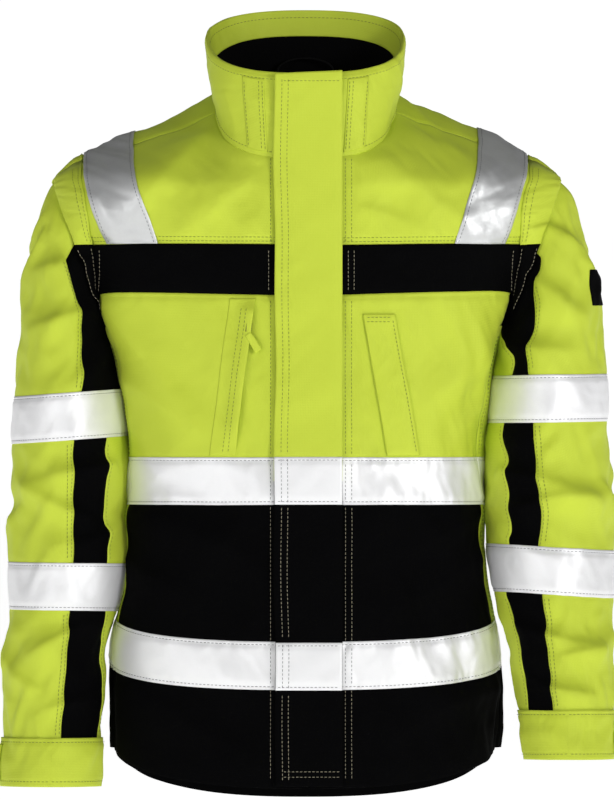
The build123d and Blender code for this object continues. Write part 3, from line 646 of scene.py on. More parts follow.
def scaled(tree, source, factor, offset):
    """source * factor + offset, where offset is a number or another output."""
    node = add(tree, "ShaderNodeMath", operation="MULTIPLY_ADD")
    tree.links.new(source, node.inputs[0])
    node.inputs[1].default_value = factor
    if isinstance(offset, float):
        node.inputs[2].default_value = offset
    else:
        tree.links.new(offset, node.inputs[2])
    return node.outputs[0]


def mixed(tree, factor, first, second):
    """The first colour turning into the second as the factor rises."""
    node = add(tree, "ShaderNodeMix", data_type="RGBA")
    node.clamp_factor = True
    tree.links.new(factor, node.inputs["Factor"])
    node.inputs["A"].default_value = (*first, 1)
    node.inputs["B"].default_value = (*second, 1)
    return node.outputs["Result"]


def dented(tree, height, strength, distance):
    node = add(tree, "ShaderNodeBump", **{"Strength": strength, "Distance": distance})
    tree.links.new(height, node.inputs["Height"])
    return node


def woven(name, colour, darker, rough=0.6, sheen=0.0, weave=0.00085, depth=0.00018,
          metallic=0.0, spread=0.5, tint=None, mottle=0.16):
    """Plain-weave cloth: two crossing thread waves, uneven dye and small creases."""
    material, tree, shader = nodes_of(name)
    link = tree.links.new
    uv = add(tree, "ShaderNodeUVMap")
    uv.uv_map = "cloth"
    cross = add(tree, "ShaderNodeMath", operation="MULTIPLY")
    threads = {"Scale": 1.0 / weave / 20.0 * math.pi, "Distortion": 1.2, "Detail": 1.0, "Detail Scale": 2.0}
    for k, direction in enumerate(("X", "Y")):
        wave = add(tree, "ShaderNodeTexWave", **threads)
        wave.wave_type, wave.bands_direction, wave.wave_profile = "BANDS", direction, "SIN"
        link(uv.outputs["UV"], wave.inputs["Vector"])
        link(wave.outputs["Fac"], cross.inputs[k])
    space = add(tree, "ShaderNodeTexCoord")
    clouds = grain(tree, space, 16.0, 5.0, 0.6)
    fine = grain(tree, space, 330.0, 4.0, 0.65)
    crease = grain(tree, space, 95.0, 5.0, 0.55, 0.6)
    uneven = scaled(tree, fine, mottle, scaled(tree, clouds, mottle * 3, -mottle))
    link(mixed(tree, uneven, colour, darker), shader.inputs["Base Color"])
    link(scaled(tree, fine, 0.22, rough - 0.11), shader.inputs["Roughness"])
    shader.inputs["Metallic"].default_value = metallic
    shader.inputs["Sheen Weight"].default_value = sheen
    shader.inputs["Sheen Roughness"].default_value = 0.45
    if tint:
        shader.inputs["Sheen Tint"].default_value = (*tint, 1)
    shader.inputs["Specular IOR Level"].default_value = spread
    weave_bump = dented(tree, cross.outputs[0], 0.55, depth)
    crease_bump = dented(tree, crease, 0.35, 0.0006)
    link(weave_bump.outputs["Normal"], crease_bump.inputs["Normal"])
    link(crease_bump.outputs["Normal"], shader.inputs["Normal"])
    return material


def plain(name, colour, rough=0.7, metallic=0.0, bump_scale=400.0, bump=0.0002):
    """A plain surface with a fine grain; the roughest ones are matt pile."""
    material, tree, shader = nodes_of(name)
    space = add(tree, "ShaderNodeTexCoord")
    noise = grain(tree, space, bump_scale, 5.0)
    lighter, darker = [c * (1 + 0.2) for c in colour], [c * (1 - 0.2) for c in colour]
    tree.links.new(mixed(tree, noise, lighter, darker), shader.inputs["Base Color"])
    shader.inputs["Roughness"].default_value = rough
    shader.inputs["Metallic"].default_value = metallic
    shader.inputs["Specular IOR Level"].default_value = 0.06 if rough > 0.8 else 0.5
    tree.links.new(dented(tree, noise, 0.5, bump).outputs["Normal"], shader.inputs["Normal"])
    return material


YELLOW = woven("fluorescent_yellow", (0.575, 0.685, 0.047), (0.49, 0.60, 0.036),
               rough=0.66, sheen=0.12, tint=(0.8, 1.0, 0.3), spread=0.35)
BLACK = woven("black_weave", (0.0009, 0.0009, 0.0011), (0.0018, 0.0018, 0.0021),
              rough=0.85, spread=0.04)
BEADS = {"weave": 0.0005, "depth": 0.00006}
# The lit copy of the tape: its near-white base is the tape's silver with the glare of its retroreflection
# painted in.
SILVER = woven("reflective_silver", (0.93, 0.93, 0.94), (0.80, 0.80, 0.82),
               rough=0.5, metallic=0.3, mottle=0.12, **BEADS)
# The shaded copy of the same tape, for the shoulders: its darker base is painted shade, as the shoulders
# face upwards.
SHADED_SILVER = woven("reflective_silver_painted_shade", (0.64, 0.65, 0.65), (0.47, 0.47, 0.47),
                    rough=0.42, metallic=0.45, mottle=0.2, **BEADS)
LINING = woven("black_lining", (0.0014, 0.0014, 0.0017), (0.0026, 0.0026, 0.003),
               weave=0.0007, spread=0.12)
FLEECE = plain("black_fleece", (0.0016, 0.0016, 0.0019), rough=0.95, bump_scale=900.0, bump=0.0016)
HOOK = plain("hook_and_loop", (0.012, 0.012, 0.013), rough=0.9, bump_scale=1500.0, bump=0.0012)
PLASTIC = plain("zip_plastic", (0.012, 0.012, 0.013), rough=0.38)
METAL = plain("painted_metal", (0.02, 0.02, 0.022), rough=0.3, metallic=0.6)
OLIVE_THREAD = plain("olive_thread", (0.17, 0.21, 0.035), bump_scale=3000.0)
PALE_THREAD = plain("pale_thread", (0.42, 0.38, 0.27), bump_scale=3000.0)
GREY_THREAD = plain("grey_thread", (0.13, 0.13, 0.14), bump_scale=3000.0)


def dress(obj, material, body_name, *replaced):
    """Material, body and the CAD nodes that a piece stands for.

    What is on a sleeve is not attached to a body: its transform is baked into its mesh.
    """
    obj.data.materials.clear()
    obj.data.materials.append(material)
    if body_name in ("sleeve_right", "sleeve_left"):
        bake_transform(obj)
    else:
        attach(obj, body_name)
    if replaced:
        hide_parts(*replaced)
    return obj


# ---- edges of the body's panels --------------------------------------------------------------
def pair(side, inner, outer):
    """Start and end of a panel: its turns rise towards the wearer's left."""
    return (inner, outer) if side > 0 else (outer, inner)


def reach(level):
    """Half the armhole's depth at a level."""
    share = (np.asarray(level, float) - 562.0) / 70.0
    return 36.0 * np.sqrt(np.clip(1 - share**2, 0, None))


def at_x(surface, x):
    return lambda level: surface.turn_x(level, x)


def round_from_x(surface, x):
    """Start at x in front, end at -x, going round behind."""
    return at_x(surface, x), lambda level: FULL_TURN + surface.turn_x(level, -x)


def arm_edge(side, least=0.0):
    return lambda level: body.turn_y(level, -np.maximum(reach(level), least), side)


def side_edge(side, y=-35.0):
    return lambda level: body.turn_y(level, y, side)


def round_the_back(y_function):
    """Start on the left, end on the right, going round behind."""
    return (
        lambda level: body.turn_y(level, y_function(level), 1),
        lambda level: FULL_TURN + body.turn_y(level, y_function(level), -1),
    )


def level_of(height):
    """Level by turn of an edge whose height depends on y, for the untilted lower body."""
    def read(turn):
        level = np.full(np.shape(turn), 100.0)
        for _ in range(6):
            level = height(body.base(turn, level)[..., 1])
        return level
    return read


FRONT_HEM = level_of(lambda y: 15.0 + (y + 130.0) * 0.42)
BACK_HEM = level_of(lambda y: 76.0 - 0.61 * y)


def band_edge(side, low):
    """An edge of the chest band; it wanders by a few millimetres, as sewn cloth does."""
    def read(turn):
        t = np.abs(np.asarray(turn)) * 120.0
        if low:
            return BAND_LOW + 3.0 * np.sin(t / 70.0) * (1 if side < 0 else 1.4) - 3.5 * ease(t, 120, 215)
        return BAND_HIGH + 2.0 * np.sin(t / 55.0 + (0.5 if side < 0 else 0.0))
    return read


def panel(name, surface, low, high, ends, material, nodes=None, **cut):
    """A panel of the body or collar. It stands for the CAD node of its own name unless told."""
    obj = ringed_panel(name, surface, low, high, *ends, **cut)
    dress(obj, material, ROOT, *([name] if nodes is None else nodes))


# ---- body panels -----------------------------------------------------------------------------
for name, side in SIDES:
    low_edge, high_edge = band_edge(side, True), band_edge(side, False)
    to_arm = pair(side, at_x(body, side * 3.0), arm_edge(side))
    under_arm = pair(side, at_x(body, side * 3.0), arm_edge(side, 35.0))
    to_side = pair(side, at_x(body, side * 3.0), side_edge(side))
    flank = pair(side, side_edge(side), side_edge(side, 35.0))
    panel(f"yoke_front_{name}", body, high_edge, NECK, to_arm, YELLOW)
    panel(f"chest_band_{name}", body, low_edge, high_edge, to_arm, BLACK, lift=0.5)
    panel(f"chest_panel_{name}", body, CHEST_TAPE, low_edge, under_arm, YELLOW)
    panel(f"lower_front_{name}", body, FRONT_HEM, CHEST_TAPE, to_side, BLACK, sewn=OPEN_HEM)
    panel(f"side_panel_{name}", body, SIDE_LOW, 490.0, flank, YELLOW)
    panel(f"hem_elastic_{name}", body, 55.0, SIDE_LOW, flank, BLACK, sewn=OPEN_HEM, step=1.6)

panel("back_yoke", body, BAND_HIGH, NECK, round_the_back(reach), YELLOW)
under_arms = round_the_back(lambda level: np.maximum(reach(level), 35.0))
panel("back_panel", body, SIDE_LOW, BAND_HIGH, under_arms, YELLOW)
between_flanks = round_the_back(lambda level: 35.0 + 0 * level)
panel("back_hem_panel", body, BACK_HEM, SIDE_LOW, between_flanks, BLACK, sewn=OPEN_HEM)


# ---- lining ----------------------------------------------------------------------------------
def quilting(p, turn):
    """Slanting rows of quilting, 90 mm apart, both ways."""
    a, b = turn * 120.0, p[..., 2]
    rows = (np.abs(np.sin(math.pi * (a + b) / 90.0)), np.abs(np.sin(math.pi * (a - b) / 90.0)))
    return -1.2 * np.exp(-((np.minimum(*rows) / 0.09) ** 2))


LINING_TOP = 480.0              # of the part in one piece, just under the armholes
LINING_EDGE = 18.0              # |x| of its front edges, at the facing
QUILTED = {"lift": -4.0, "thick": 0.8, "step": 4.0, "extra": quilting, "dip": 0}
panel("body_lining", body, 64.0, LINING_TOP, round_from_x(body, LINING_EDGE), LINING, **QUILTED)
for name, side in SIDES:
    ends = pair(side, at_x(body, side * LINING_EDGE), arm_edge(side))
    panel(f"lining_front_{name}", body, LINING_TOP, NECK, ends, LINING, [], **QUILTED)
panel("lining_back", body, LINING_TOP, NECK, round_the_back(reach), LINING, [], **QUILTED)


# ---- collar ----------------------------------------------------------------------------------
def rim_roll(p, turn):
    """Rolls the top of the collar's cloth over towards the inside."""
    level = p[..., 2] - 0.42 * p[..., 1]
    return -2.4 * np.clip((level - (RIM - 6.0)) / 6.0, 0, 1) ** 2


def strip_line(side, x, spread):
    """A line on the collar's front that slants outwards as it rises."""
    return lambda level: collar.turn_x(level, side * (x + (level - 728.0) * spread))


panel("collar", collar, 712.0, RIM, round_from_x(collar, 3.0), YELLOW,
      lift=0.6, thick=2.2, step=1.8, sewn=("low",), extra=rim_roll)
panel("collar_facing", collar, 757.0, RIM - 0.4, round_from_x(collar, LINING_EDGE), YELLOW,
      lift=-2.9, thick=1.6, step=2.0, sewn=("low",))
panel("collar_lining", collar, 713.6, 758.0, round_from_x(collar, LINING_EDGE), FLEECE,
      lift=-3.4, thick=1.6, step=2.0, sewn=())
for name, side in SIDES:
    ends = pair(side, strip_line(side, 39.5, 0.06), strip_line(side, 60.5, 0.09))
    panel(f"collar_strip_{name}", collar, 716.5, 781.0, ends, YELLOW,
          ["collar_strips"] if side < 0 else [], lift=1.5, thick=0.9, step=1.6, dip=0.5)

# ---- reflective tape on the body -------------------------------------------------------------
TAPE_LIFT = 1.25
TAPE_CUT = {"lift": TAPE_LIFT, "thick": 0.7, "step": 2.0, "dip": 0.35}
CHEST_TAPE_EDGES = (CHEST_TAPE - TAPE / 2, CHEST_TAPE + TAPE / 2)


def hem_tape_line(shift):
    """A line of the front hem tape, so far above its middle."""
    return level_of(lambda y: hem_tape_middle(np.minimum(y, -0.1)) + shift)


def back_tape_low(turn):
    y = body.base(turn, np.full(np.shape(turn), 165.0))[..., 1]
    return hem_tape_middle(y) - TAPE / 2


for name, side in SIDES:
    ends = pair(side, at_x(body, side * 9.0), side_edge(side, -35.2))
    panel(f"chest_tape_{name}", body, *CHEST_TAPE_EDGES, ends, SILVER, **TAPE_CUT)
    edges = hem_tape_line(-TAPE / 2), hem_tape_line(TAPE / 2)
    panel(f"hem_tape_{name}", body, *edges, ends, SILVER, **TAPE_CUT)
ends = round_the_back(lambda level: -34.8)
panel("chest_tape_back", body, *CHEST_TAPE_EDGES, ends, SILVER, **TAPE_CUT)
panel("hem_tape_back", body, back_tape_low, lambda t: back_tape_low(t) + TAPE, ends, SILVER, **TAPE_CUT)


def over_shoulder(side, share, rows):
    """Turns and levels of a line of the shoulder tape, from the front over the ridge to the back.

    share runs from the tape's inner edge (0) to its outer edge (1), about 50 mm apart.
    """
    low = BAND_HIGH + 2.0
    level = np.concatenate([np.linspace(low, 640, 60), np.linspace(640.4, 700, 260)])
    x = 153.0 + 0.24 * (level - low) + share * (52.0 + 0.04 * (level - low))
    under = x <= body.half(level)
    level, x = level[under], x[under]
    top = np.linspace(0, 1, 24)[1:]
    ridge = level[-1] + 0 * top
    turn = body.turn_x(level, x)
    turn = np.concatenate([turn, turn[-1] + (math.pi / 2 - turn[-1]) * top])
    level = np.concatenate([level, ridge])
    p = body.base(turn, level)
    far = np.concatenate([[0], np.cumsum(np.linalg.norm(np.diff(p, axis=0), axis=-1))])
    even = np.linspace(0, far[-1], rows)
    turn, level = np.interp(even, far, turn), np.interp(even, far, level)
    turn = np.concatenate([turn, math.pi - turn[-2::-1]])
    level = np.concatenate([level, level[-2::-1]])
    return side * turn, level


def shoulder_relief(turn, level, share):
    """Wrinkles of the stiff tape: short folds across it, deeper at its stitched edges."""
    arc = np.abs(np.abs(turn) - math.pi / 2) * 100.0
    edge = np.exp(-((share / 0.12) ** 2)) + np.exp(-(((1 - share) / 0.12) ** 2))
    long_ = shoulder_noise(level + arc * 0.2, share * 30.0, 30.0, 2.2)
    fine = shoulder_noise(level + 3.0, share * 49.0 + 9.0, 12.0, 2.6)
    return 0.55 * long_ + 0.22 * fine - 0.7 * edge * (0.5 + 0.5 * fine)


COVER_LINE = line([
    (510, 214), (517, 215), (575, 221), (611, 222), (638, 226), (654, 231), (664, 232),
])
COVER_LENGTH = 165.0            # along the strip
COVER_LOW, COVER_TALL = 517.0, 147.0    # level under the arm, and rise to the shoulder's top
COVER_ROWS = 13                 # of points across the strip
BAND_END = 0.395                # share of the way up where the black band ends


def groove_across(across, place):
    return np.exp(-(((across - place) / 0.05) ** 2))


def cover_point(side, behind, way, across, lift):
    """A place on the strip over a sleeve's seam, and its normal.

    way runs from under the arm (0) to the top of the shoulder (1), across from the body's shell
    (0) out onto the sleeve's head (1).
    """
    sleeve = sleeves["left" if side > 0 else "right"]
    level = COVER_LOW + COVER_TALL * way
    turn = np.where(way > 0.999, math.pi / 2, np.abs(body.turn_x(level, COVER_LINE(level))))
    turn = np.where(behind, math.pi - turn, turn) * side
    near = body.point(turn, level, 1.4 + 0 * way)
    arm = np.radians(-36.0 + 126.0 * way)
    arm = np.where(behind, math.pi - arm, arm)
    down = np.interp(way, [0, 0.45, 0.8, 1.0], [0.085, 0.055, 0.04, 0.028])
    far = sleeve.point(arm, down, 3.0 + 0.5 * way**4)
    normal = body.normal(turn, level) + sleeve.normal(arm, down)
    normal /= np.linalg.norm(normal, axis=-1, keepdims=True)
    bow = 2.4 * np.sin(math.pi * np.clip(across, 0, 1)) ** 0.8
    bow = bow - 0.9 * groove_across(across, 0.09) - 0.5 * groove_across(across, 0.9)
    bow = bow + 0.45 * side_noise(way * COVER_LENGTH, across * 22.0, 15.0, 2.0) + lift
    return near + (far - near) * across[..., None] + normal * bow[..., None], normal


def armhole_strip(name, side, first, last, behind, material, *replaced):
    """Part of the strip over the sleeve's seam, between two shares of the way up."""
    count = max(8, int((last - first) * COVER_LENGTH / 2.2))
    way = np.linspace(first, last, count)[None, :] + np.zeros((COVER_ROWS, 1))
    across = np.linspace(0, 1, COVER_ROWS)[:, None] + np.zeros((1, count))
    outer = cover_point(side, behind, way, across, 0.0)[0]
    inner = cover_point(side, behind, way, across, -1.6)[0]
    if (side > 0) == behind:
        outer, inner = outer[:, ::-1], inner[:, ::-1]
    dress(cloth_sheet(name, outer, inner), material, ROOT, *replaced)
    way = np.linspace(first + 0.01, last - 0.01, 3 * count)
    for place in (0.09, 0.9) if material is BLACK else (0.09, 0.24):
        points, normal = cover_point(side, behind, way, place + 0 * way, 0.15)
        stitch("black" if material is BLACK else "yellow", points, normal)


shoulder_noise = Noise(91)
SHOULDER_LIFT = 1.5
for name, side in SIDES:
    shares = np.linspace(0, 1, 26)
    lines = [over_shoulder(side, share, 58) for share in shares]
    turn = np.stack([turns for turns, _ in lines], 1)
    level = np.stack([levels for _, levels in lines], 1)
    share = shares[None, :] + 0 * turn
    if side < 0:
        turn, level, share = turn[:, ::-1], level[:, ::-1], share[:, ::-1]
    rise = SHOULDER_LIFT + shoulder_relief(turn, level, share)
    outer, inner = body.point(turn, level, rise), body.point(turn, level, rise - 0.7)
    # the shoulder tape takes the shaded copy of the tape, whose colour holds painted shade
    dress(cloth_sheet(f"shoulder_tape_{name}", outer, inner), SHADED_SILVER, ROOT, f"shoulder_tape_{name}")
    armhole_strip(f"armhole_cover_{name}", side, BAND_END, 1.0, False, YELLOW, f"armhole_cover_{name}")
    armhole_strip(f"armhole_cover_low_{name}", side, 0.0, BAND_END, False, BLACK)
    armhole_strip(f"armhole_cover_back_{name}", side, 0.0, 1.0, True, YELLOW)

# ---- storm flap ------------------------------------------------------------------------------
LEAN = math.atan(FRONT_SLOPE)
FLAP_NORMAL = np.array([0.0, -math.cos(LEAN), math.sin(LEAN)])
FLAP_OUT = 6.0                                  # how far the flap's face stands off the shell
FLAP_TAPE_OUT = FLAP_OUT + 0.9
FLAP_ROWS = (FLAP_FREE + 7.5, FLAP_FREE + 14.0) # x of the double row along its free edge
flap_noise = Noise(77)


def flap_points(x, z, out):
    """A place on the straight front: x across, z up it, out from the shell."""
    x, z, out = np.broadcast_arrays(np.asarray(x, float), np.asarray(z, float), np.asarray(out, float))
    y = FRONT_LOW[0] + (z - FRONT_LOW[1]) * FRONT_SLOPE
    return np.stack([x, y - out * math.cos(LEAN), z + out * math.sin(LEAN)], -1)


def flap_wander(z):
    """How far the flap's edges and rows wander sideways."""
    return 0.9 * np.sin(z / 61.0) + 0.6 * np.sin(z / 23.0 + 1.0)


def flap_rise(x, z):
    """The flap's own waviness, least where it is sewn on."""
    free = np.clip((FLAP_SEWN - x) / FLAP_WIDE, 0, 1)
    wave = flap_noise(x * 0.6, z, 130.0) * 0.9 + flap_noise(x, z, 52.0) * 0.35
    groove = seam_groove(x - FLAP_ROWS[0], 2.2, 0.5) + seam_groove(x - FLAP_ROWS[1], 2.2, 0.5)
    lines = 0
    for middle in (CHEST_TAPE, LOW_FLAP_TAPE):
        for edge in (-21.5, 21.5):
            lines = lines + seam_groove(z - (middle + edge), 3.0, 0.7)
    return (0.4 + 0.6 * free) * wave + groove + lines + 0.5


def flap_sheet(name, x0, x1, z0, z1, out, thick, slant=0.0, dip=0.7):
    """A sheet of the flap; slant is how much higher its top ends where the flap is sewn on."""
    step = 2.2
    rows, columns = max(4, int((z1 - z0) / step) + 1), max(4, int((x1 - x0) / step) + 1)
    x = np.linspace(x0, x1, columns)[None, :] + np.zeros((rows, 1))
    high = z1 + slant * (x - FLAP_FREE) / FLAP_WIDE
    z = z0 + (high - z0) * np.linspace(0, 1, rows)[:, None] + 0 * x
    x = x + flap_wander(z) * np.clip((FLAP_SEWN - x) / FLAP_WIDE, 0, 1)
    rise = out + flap_rise(x, z) + edge_dip(rows, columns, ALL_SEWN, dip)
    return cloth_sheet(name, flap_points(x, z, rise), flap_points(x, z, rise - thick))


upper = flap_sheet("storm_flap", FLAP_FREE, FLAP_SEWN, CHEST_TAPE, 751.0, FLAP_OUT, 2.0, slant=3.0)
dress(upper, YELLOW, "storm_flap", "storm_flap")
lower = flap_sheet("storm_flap_lower", FLAP_FREE, FLAP_SEWN, 17.0, CHEST_TAPE, FLAP_OUT, 2.0)
dress(lower, BLACK, "storm_flap", "storm_flap_lower")
for name, mid in (("upper", CHEST_TAPE), ("lower", LOW_FLAP_TAPE)):
    tape = flap_sheet(f"flap_tape_{name}", FLAP_FREE + 0.3, FLAP_SEWN - 0.2,
                      mid - TAPE / 2, mid + TAPE / 2, FLAP_TAPE_OUT, 0.6, dip=0.3)
    dress(tape, SILVER, "storm_flap", f"flap_tape_{name}")
PATCHES = [60.0, 205.0, 265.0, 420.0, 500.0, 590.0, 640.0]      # z of their middles
PATCH_HALF = 19.0


def patch_mesh(name, out, thick, body_name):
    """A row of hook or loop patches, each a thin box that follows the front's lean."""
    rows, columns = 12, 7
    count = rows * columns
    index = np.arange(count).reshape(rows, columns)
    points, faces = [], []
    for k, z in enumerate(PATCHES):
        x = np.linspace(-28.5, -12.5, columns)[None, :] + np.zeros((rows, 1))
        zz = np.linspace(z - PATCH_HALF, z + PATCH_HALF, rows)[:, None] + 0 * x
        start = k * 2 * count
        faces += [grid_faces(rows, columns, start), grid_faces(rows, columns, start + count, True)]
        for row, flip in ((index[0], False), (index[-1], True), (index[:, 0], True), (index[:, -1], False)):
            quad = np.stack([row[1:], row[:-1], row[:-1] + count, row[1:] + count], -1) + start
            faces.append(quad[:, ::-1] if flip else quad)
        points += [flap_points(x, zz, off).reshape(-1, 3) for off in (out, out - thick)]
    dress(new_mesh(name, np.concatenate(points), np.concatenate(faces), False), HOOK, body_name, name)


patch_mesh("flap_hook_patches", 3.6, 0.8, "storm_flap")
patch_mesh("front_loop_patches", 1.9, 0.8, ROOT)

# ---- pockets ---------------------------------------------------------------------------------
# x and z of the upper and lower end of each opening
RIGHT_POCKET = ((-55.0, 515.0), (-72.0, 385.0))
LEFT_POCKET = ((59.0, 503.0), (84.0, 358.0))
WELT_LOW = 357.0


def opening_x(pocket, level):
    (x0, z0), (x1, z1) = pocket
    return x0 + (x1 - x0) * (z0 - level) / (z0 - z1)


def along(pocket, distance):
    """A line beside a pocket's opening, so far towards the side seam."""
    side = 1 if pocket[0][0] > 0 else -1
    return lambda level: body.turn_x(level, opening_x(pocket, level) + side * distance)


def between(pocket, first, last):
    return pair(1 if pocket[0][0] > 0 else -1, along(pocket, first), along(pocket, last))


def pocket_rise(p):
    """How far the right pocket's front layer stands off, most at its free edge over the zip."""
    beside = opening_x(RIGHT_POCKET, p[..., 2]) - p[..., 0]
    ends = ease(p[..., 2], WELT_LOW, 392) * ease(-p[..., 2], -519, -503)
    return 0.1 + 6.2 * ends * ease(-beside, -21.0, 1.0) ** 1.3


# right: the layer in front stands off the zip, and its slider is in the shadow behind it
panel("pocket_welt_right", body, WELT_LOW, 519.0, between(RIGHT_POCKET, -3.0, 24.0), YELLOW,
      lift=0.2, thick=1.0, step=1.5, dip=0.0, sewn=(), extra=lambda p, turn: pocket_rise(p))
# the pocket zip's dark tape, cut to a narrow strip so that it also stands in as the painted shadow of the
# slit under the front layer
panel("pocket_zip_right", body, 385.0, 515.0, between(RIGHT_POCKET, 1.8, 3.2), LINING,
      lift=0.35, thick=0.6, step=1.2, dip=0.0, sewn=())
# left: a flat patch over a closed opening
panel("pocket_welt_left", body, WELT_LOW, 503.0, between(LEFT_POCKET, 0.0, 33.0), YELLOW,
      lift=2.6, thick=1.7, step=1.8, dip=0.8, sewn=("low", "high", "end"))
panel("pocket_bag_right", body, 385.0, 515.0, between(RIGHT_POCKET, -8.0, 95.0), LINING,
      ["pocket_bags"], lift=-2.4, thick=0.5, step=5.0, dip=0, sewn=())


# ---- stitching on the body -------------------------------------------------------------------
def upright_row(group, surface, turn, low, high, count, lift=0.0):
    """A row that climbs along a line given as turn by level."""
    level = np.linspace(low, high, count)
    sew(group, surface, turn(level), level, lift=lift)


def front_rows(side, x):
    """The rows beside the front edge, broken where the band and the tapes cross them."""
    turn = at_x(body, x)
    level = np.linspace(CHEST_TAPE + TAPE / 2 + 2, NECK - 3, 260)
    for part in (level[level > 576], level[level < 520]):
        sew("yellow", body, turn(part), part)
    upright_row("black", body, turn, 24, CHEST_TAPE - TAPE / 2 - 2, 160)
    for mid in (CHEST_TAPE, HEM_TAPE_FRONT + 1.0):
        upright_row("grey", body, turn, mid - TAPE / 2 + 4, mid + TAPE / 2 - 4, 30, TAPE_LIFT)


for side in (-1, 1):
    # the seam of the flap on the left, and the facing's line on the right
    for x in (41.0, 47.5) if side > 0 else (-36.0,):
        front_rows(side, x)
    # a double row above the band, and short upright rows across it
    for shift in (3.5, 8.5):
        t = np.linspace(body.turn_x(578.0, side * 12.0), body.turn_x(578.0, side * 226.0), 140)
        sew("yellow", body, t, band_edge(side, False)(t) + shift, lift=0.1)
    for x in (12.0, 38.0, 214.0) if side < 0 else (44.0, 50.0, 214.0):
        upright_row("black", body, at_x(body, side * x), 526, 571, 24, 0.6)
    # tapes: a row inside each edge
    for shift in TAPE_ROWS:
        t = np.linspace(body.turn_x(CHEST_TAPE, side * 10.0), body.turn_y(CHEST_TAPE, -36.0, side), 120)
        sew("grey", body, t, CHEST_TAPE + shift + 0 * t, lift=TAPE_LIFT)
    for shift in TAPE_ROWS:
        t = np.linspace(body.turn_x(150.0, side * 10.0), body.turn_y(160.0, -36.0, side), 120)
        sew("grey", body, t, hem_tape_line(shift)(t), lift=TAPE_LIFT)
    # side seams, double
    for y in (-31.0, -26.0):
        upright_row("yellow", body, side_edge(side, y), 188, 305, 90)
        upright_row("yellow", body, side_edge(side, y), 357, 480, 90)
    # shoulder tape edges
    for share in (0.07, 0.93):
        turn, level = over_shoulder(side, share, 120)
        rise = SHOULDER_LIFT + shoulder_relief(turn, level, share + 0 * turn)
        stitch("grey", body.point(turn, level, rise), body.normal(turn, level))
t = np.linspace(body.turn_y(CHEST_TAPE, -34.0, 1), FULL_TURN + body.turn_y(CHEST_TAPE, -34.0, -1), 300)
for shift in TAPE_ROWS:
    sew("grey", body, t, CHEST_TAPE + shift + 0 * t, lift=TAPE_LIFT)
    sew("grey", body, t, back_tape_low(t) + TAPE / 2 + shift, lift=TAPE_LIFT)
t = np.linspace(body.turn_y(590.0, 34.0, 1), FULL_TURN + body.turn_y(590.0, 34.0, -1), 200)
for shift in (5.0, 10.0):
    sew("yellow", body, t, BAND_HIGH + shift + 0 * t)
# collar: a row under the rim outside and inside, the seams of the strips, the neck seam
start, end = round_from_x(collar, 5.0)
t = np.linspace(start(780.0), end(780.0), 300)
sew("yellow", collar, t, 781.5 + 0 * t, lift=0.5)
sew("yellow", collar, t, 717.5 + 0 * t, lift=0.6)
for side in (-1, 1):
    for x, spread in ((41.5, 0.06), (45.0, 0.06), (58.5, 0.09)):
        upright_row("yellow", collar, strip_line(side, x, spread), 718, 779, 40, 1.5)
# the facing's own rows, on the inside of the collar
start, end = round_from_x(collar, 20.0)
t = np.linspace(start(770.0), end(770.0), 280)
for level in (760.5, 779.0):
    stitch("yellow", collar.point(t, level + 0 * t, -4.55), -collar.normal(t, level + 0 * t))
# pockets
level = np.linspace(360, 512, 90)
for distance in (5.0, 10.5):
    t = along(RIGHT_POCKET, distance)(level)
    sew("yellow", body, t, level, lift=0.2 + pocket_rise(body.base(t, level)))
upright_row("yellow", body, along(LEFT_POCKET, 29.5), 360, 500, 90, 2.5)
t = np.linspace(body.turn_x(500.0, 62.0), body.turn_x(500.0, 90.0), 20)
for level in (495.0, 499.5):
    sew("yellow", body, t, level + 0 * t, lift=2.7)


# ---- stitching on the flap -------------------------------------------------------------------
def flap_stitch(group, x, z, out=FLAP_OUT):
    x, z = np.broadcast_arrays(x, z)
    stitch(group, flap_points(x, z, out + flap_rise(x, z)), FLAP_NORMAL + np.zeros((len(x), 3)))


def wandering(x, z):
    return x + flap_wander(z) * (FLAP_SEWN - x) / FLAP_WIDE


z = np.linspace(22, 748, 460)
for x in FLAP_ROWS:
    for low, high, group in ((20, 113, "flap_black"), (168, 304, "flap_black"), (358, 748, "flap_yellow")):
        part = z[(z > low) & (z < high)]
        flap_stitch(group, wandering(x, part), part)
for level, group in ((26.5, "flap_black"), (32.0, "flap_black"), (743.0, "flap_yellow")):
    flap_stitch(group, np.linspace(FLAP_FREE + 8, FLAP_SEWN - 3, 60), level)
for mid in (CHEST_TAPE, LOW_FLAP_TAPE):
    for shift in TAPE_ROWS:
        flap_stitch("flap_grey", np.linspace(FLAP_FREE + 2, FLAP_SEWN - 1, 60), mid + shift, FLAP_TAPE_OUT)
    part = np.linspace(mid - TAPE / 2 + 1, mid + TAPE / 2 - 1, 40)
    for x in FLAP_ROWS:
        flap_stitch("flap_grey", wandering(x, part), part, FLAP_TAPE_OUT)

# ---- sleeves ---------------------------------------------------------------------------------
# |x| by height of the black stripe's outer and inner edge, as seen from in front
STRIPE = {
    "right": (
        line([
            (69, 252), (198, 242), (247, 239), (372, 239), (421, 232), (459, 229), (504, 232),
            (525, 236), (539, 244), (552, 250.5), (564, 245), (577, 238), (592, 205),
        ]),
        line([(69, 214), (198, 208.5), (372, 208.5), (410, 204), (450, 190), (700, 190)]),
    ),
    "left": (
        line([
            (102, 254), (216, 243), (268, 239), (294, 244), (351, 236), (390, 234), (441, 230),
            (472, 230), (501, 239), (528, 233.6), (544, 239), (555, 249), (566, 239), (582, 205),
        ]),
        line([
            (102, 230), (164, 222), (216, 209), (268, 213), (312, 212), (381, 205), (440, 212),
            (457, 218), (480, 205), (515, 200), (560, 190), (700, 190),
        ]),
    ),
}
CUFF_ROW_LOW, CUFF_ROW_HIGH = 6.0, CUFF_HIGH - 4.5      # above the sleeve's end
RING_START = -2.2                                       # turn where the tapes' ends meet


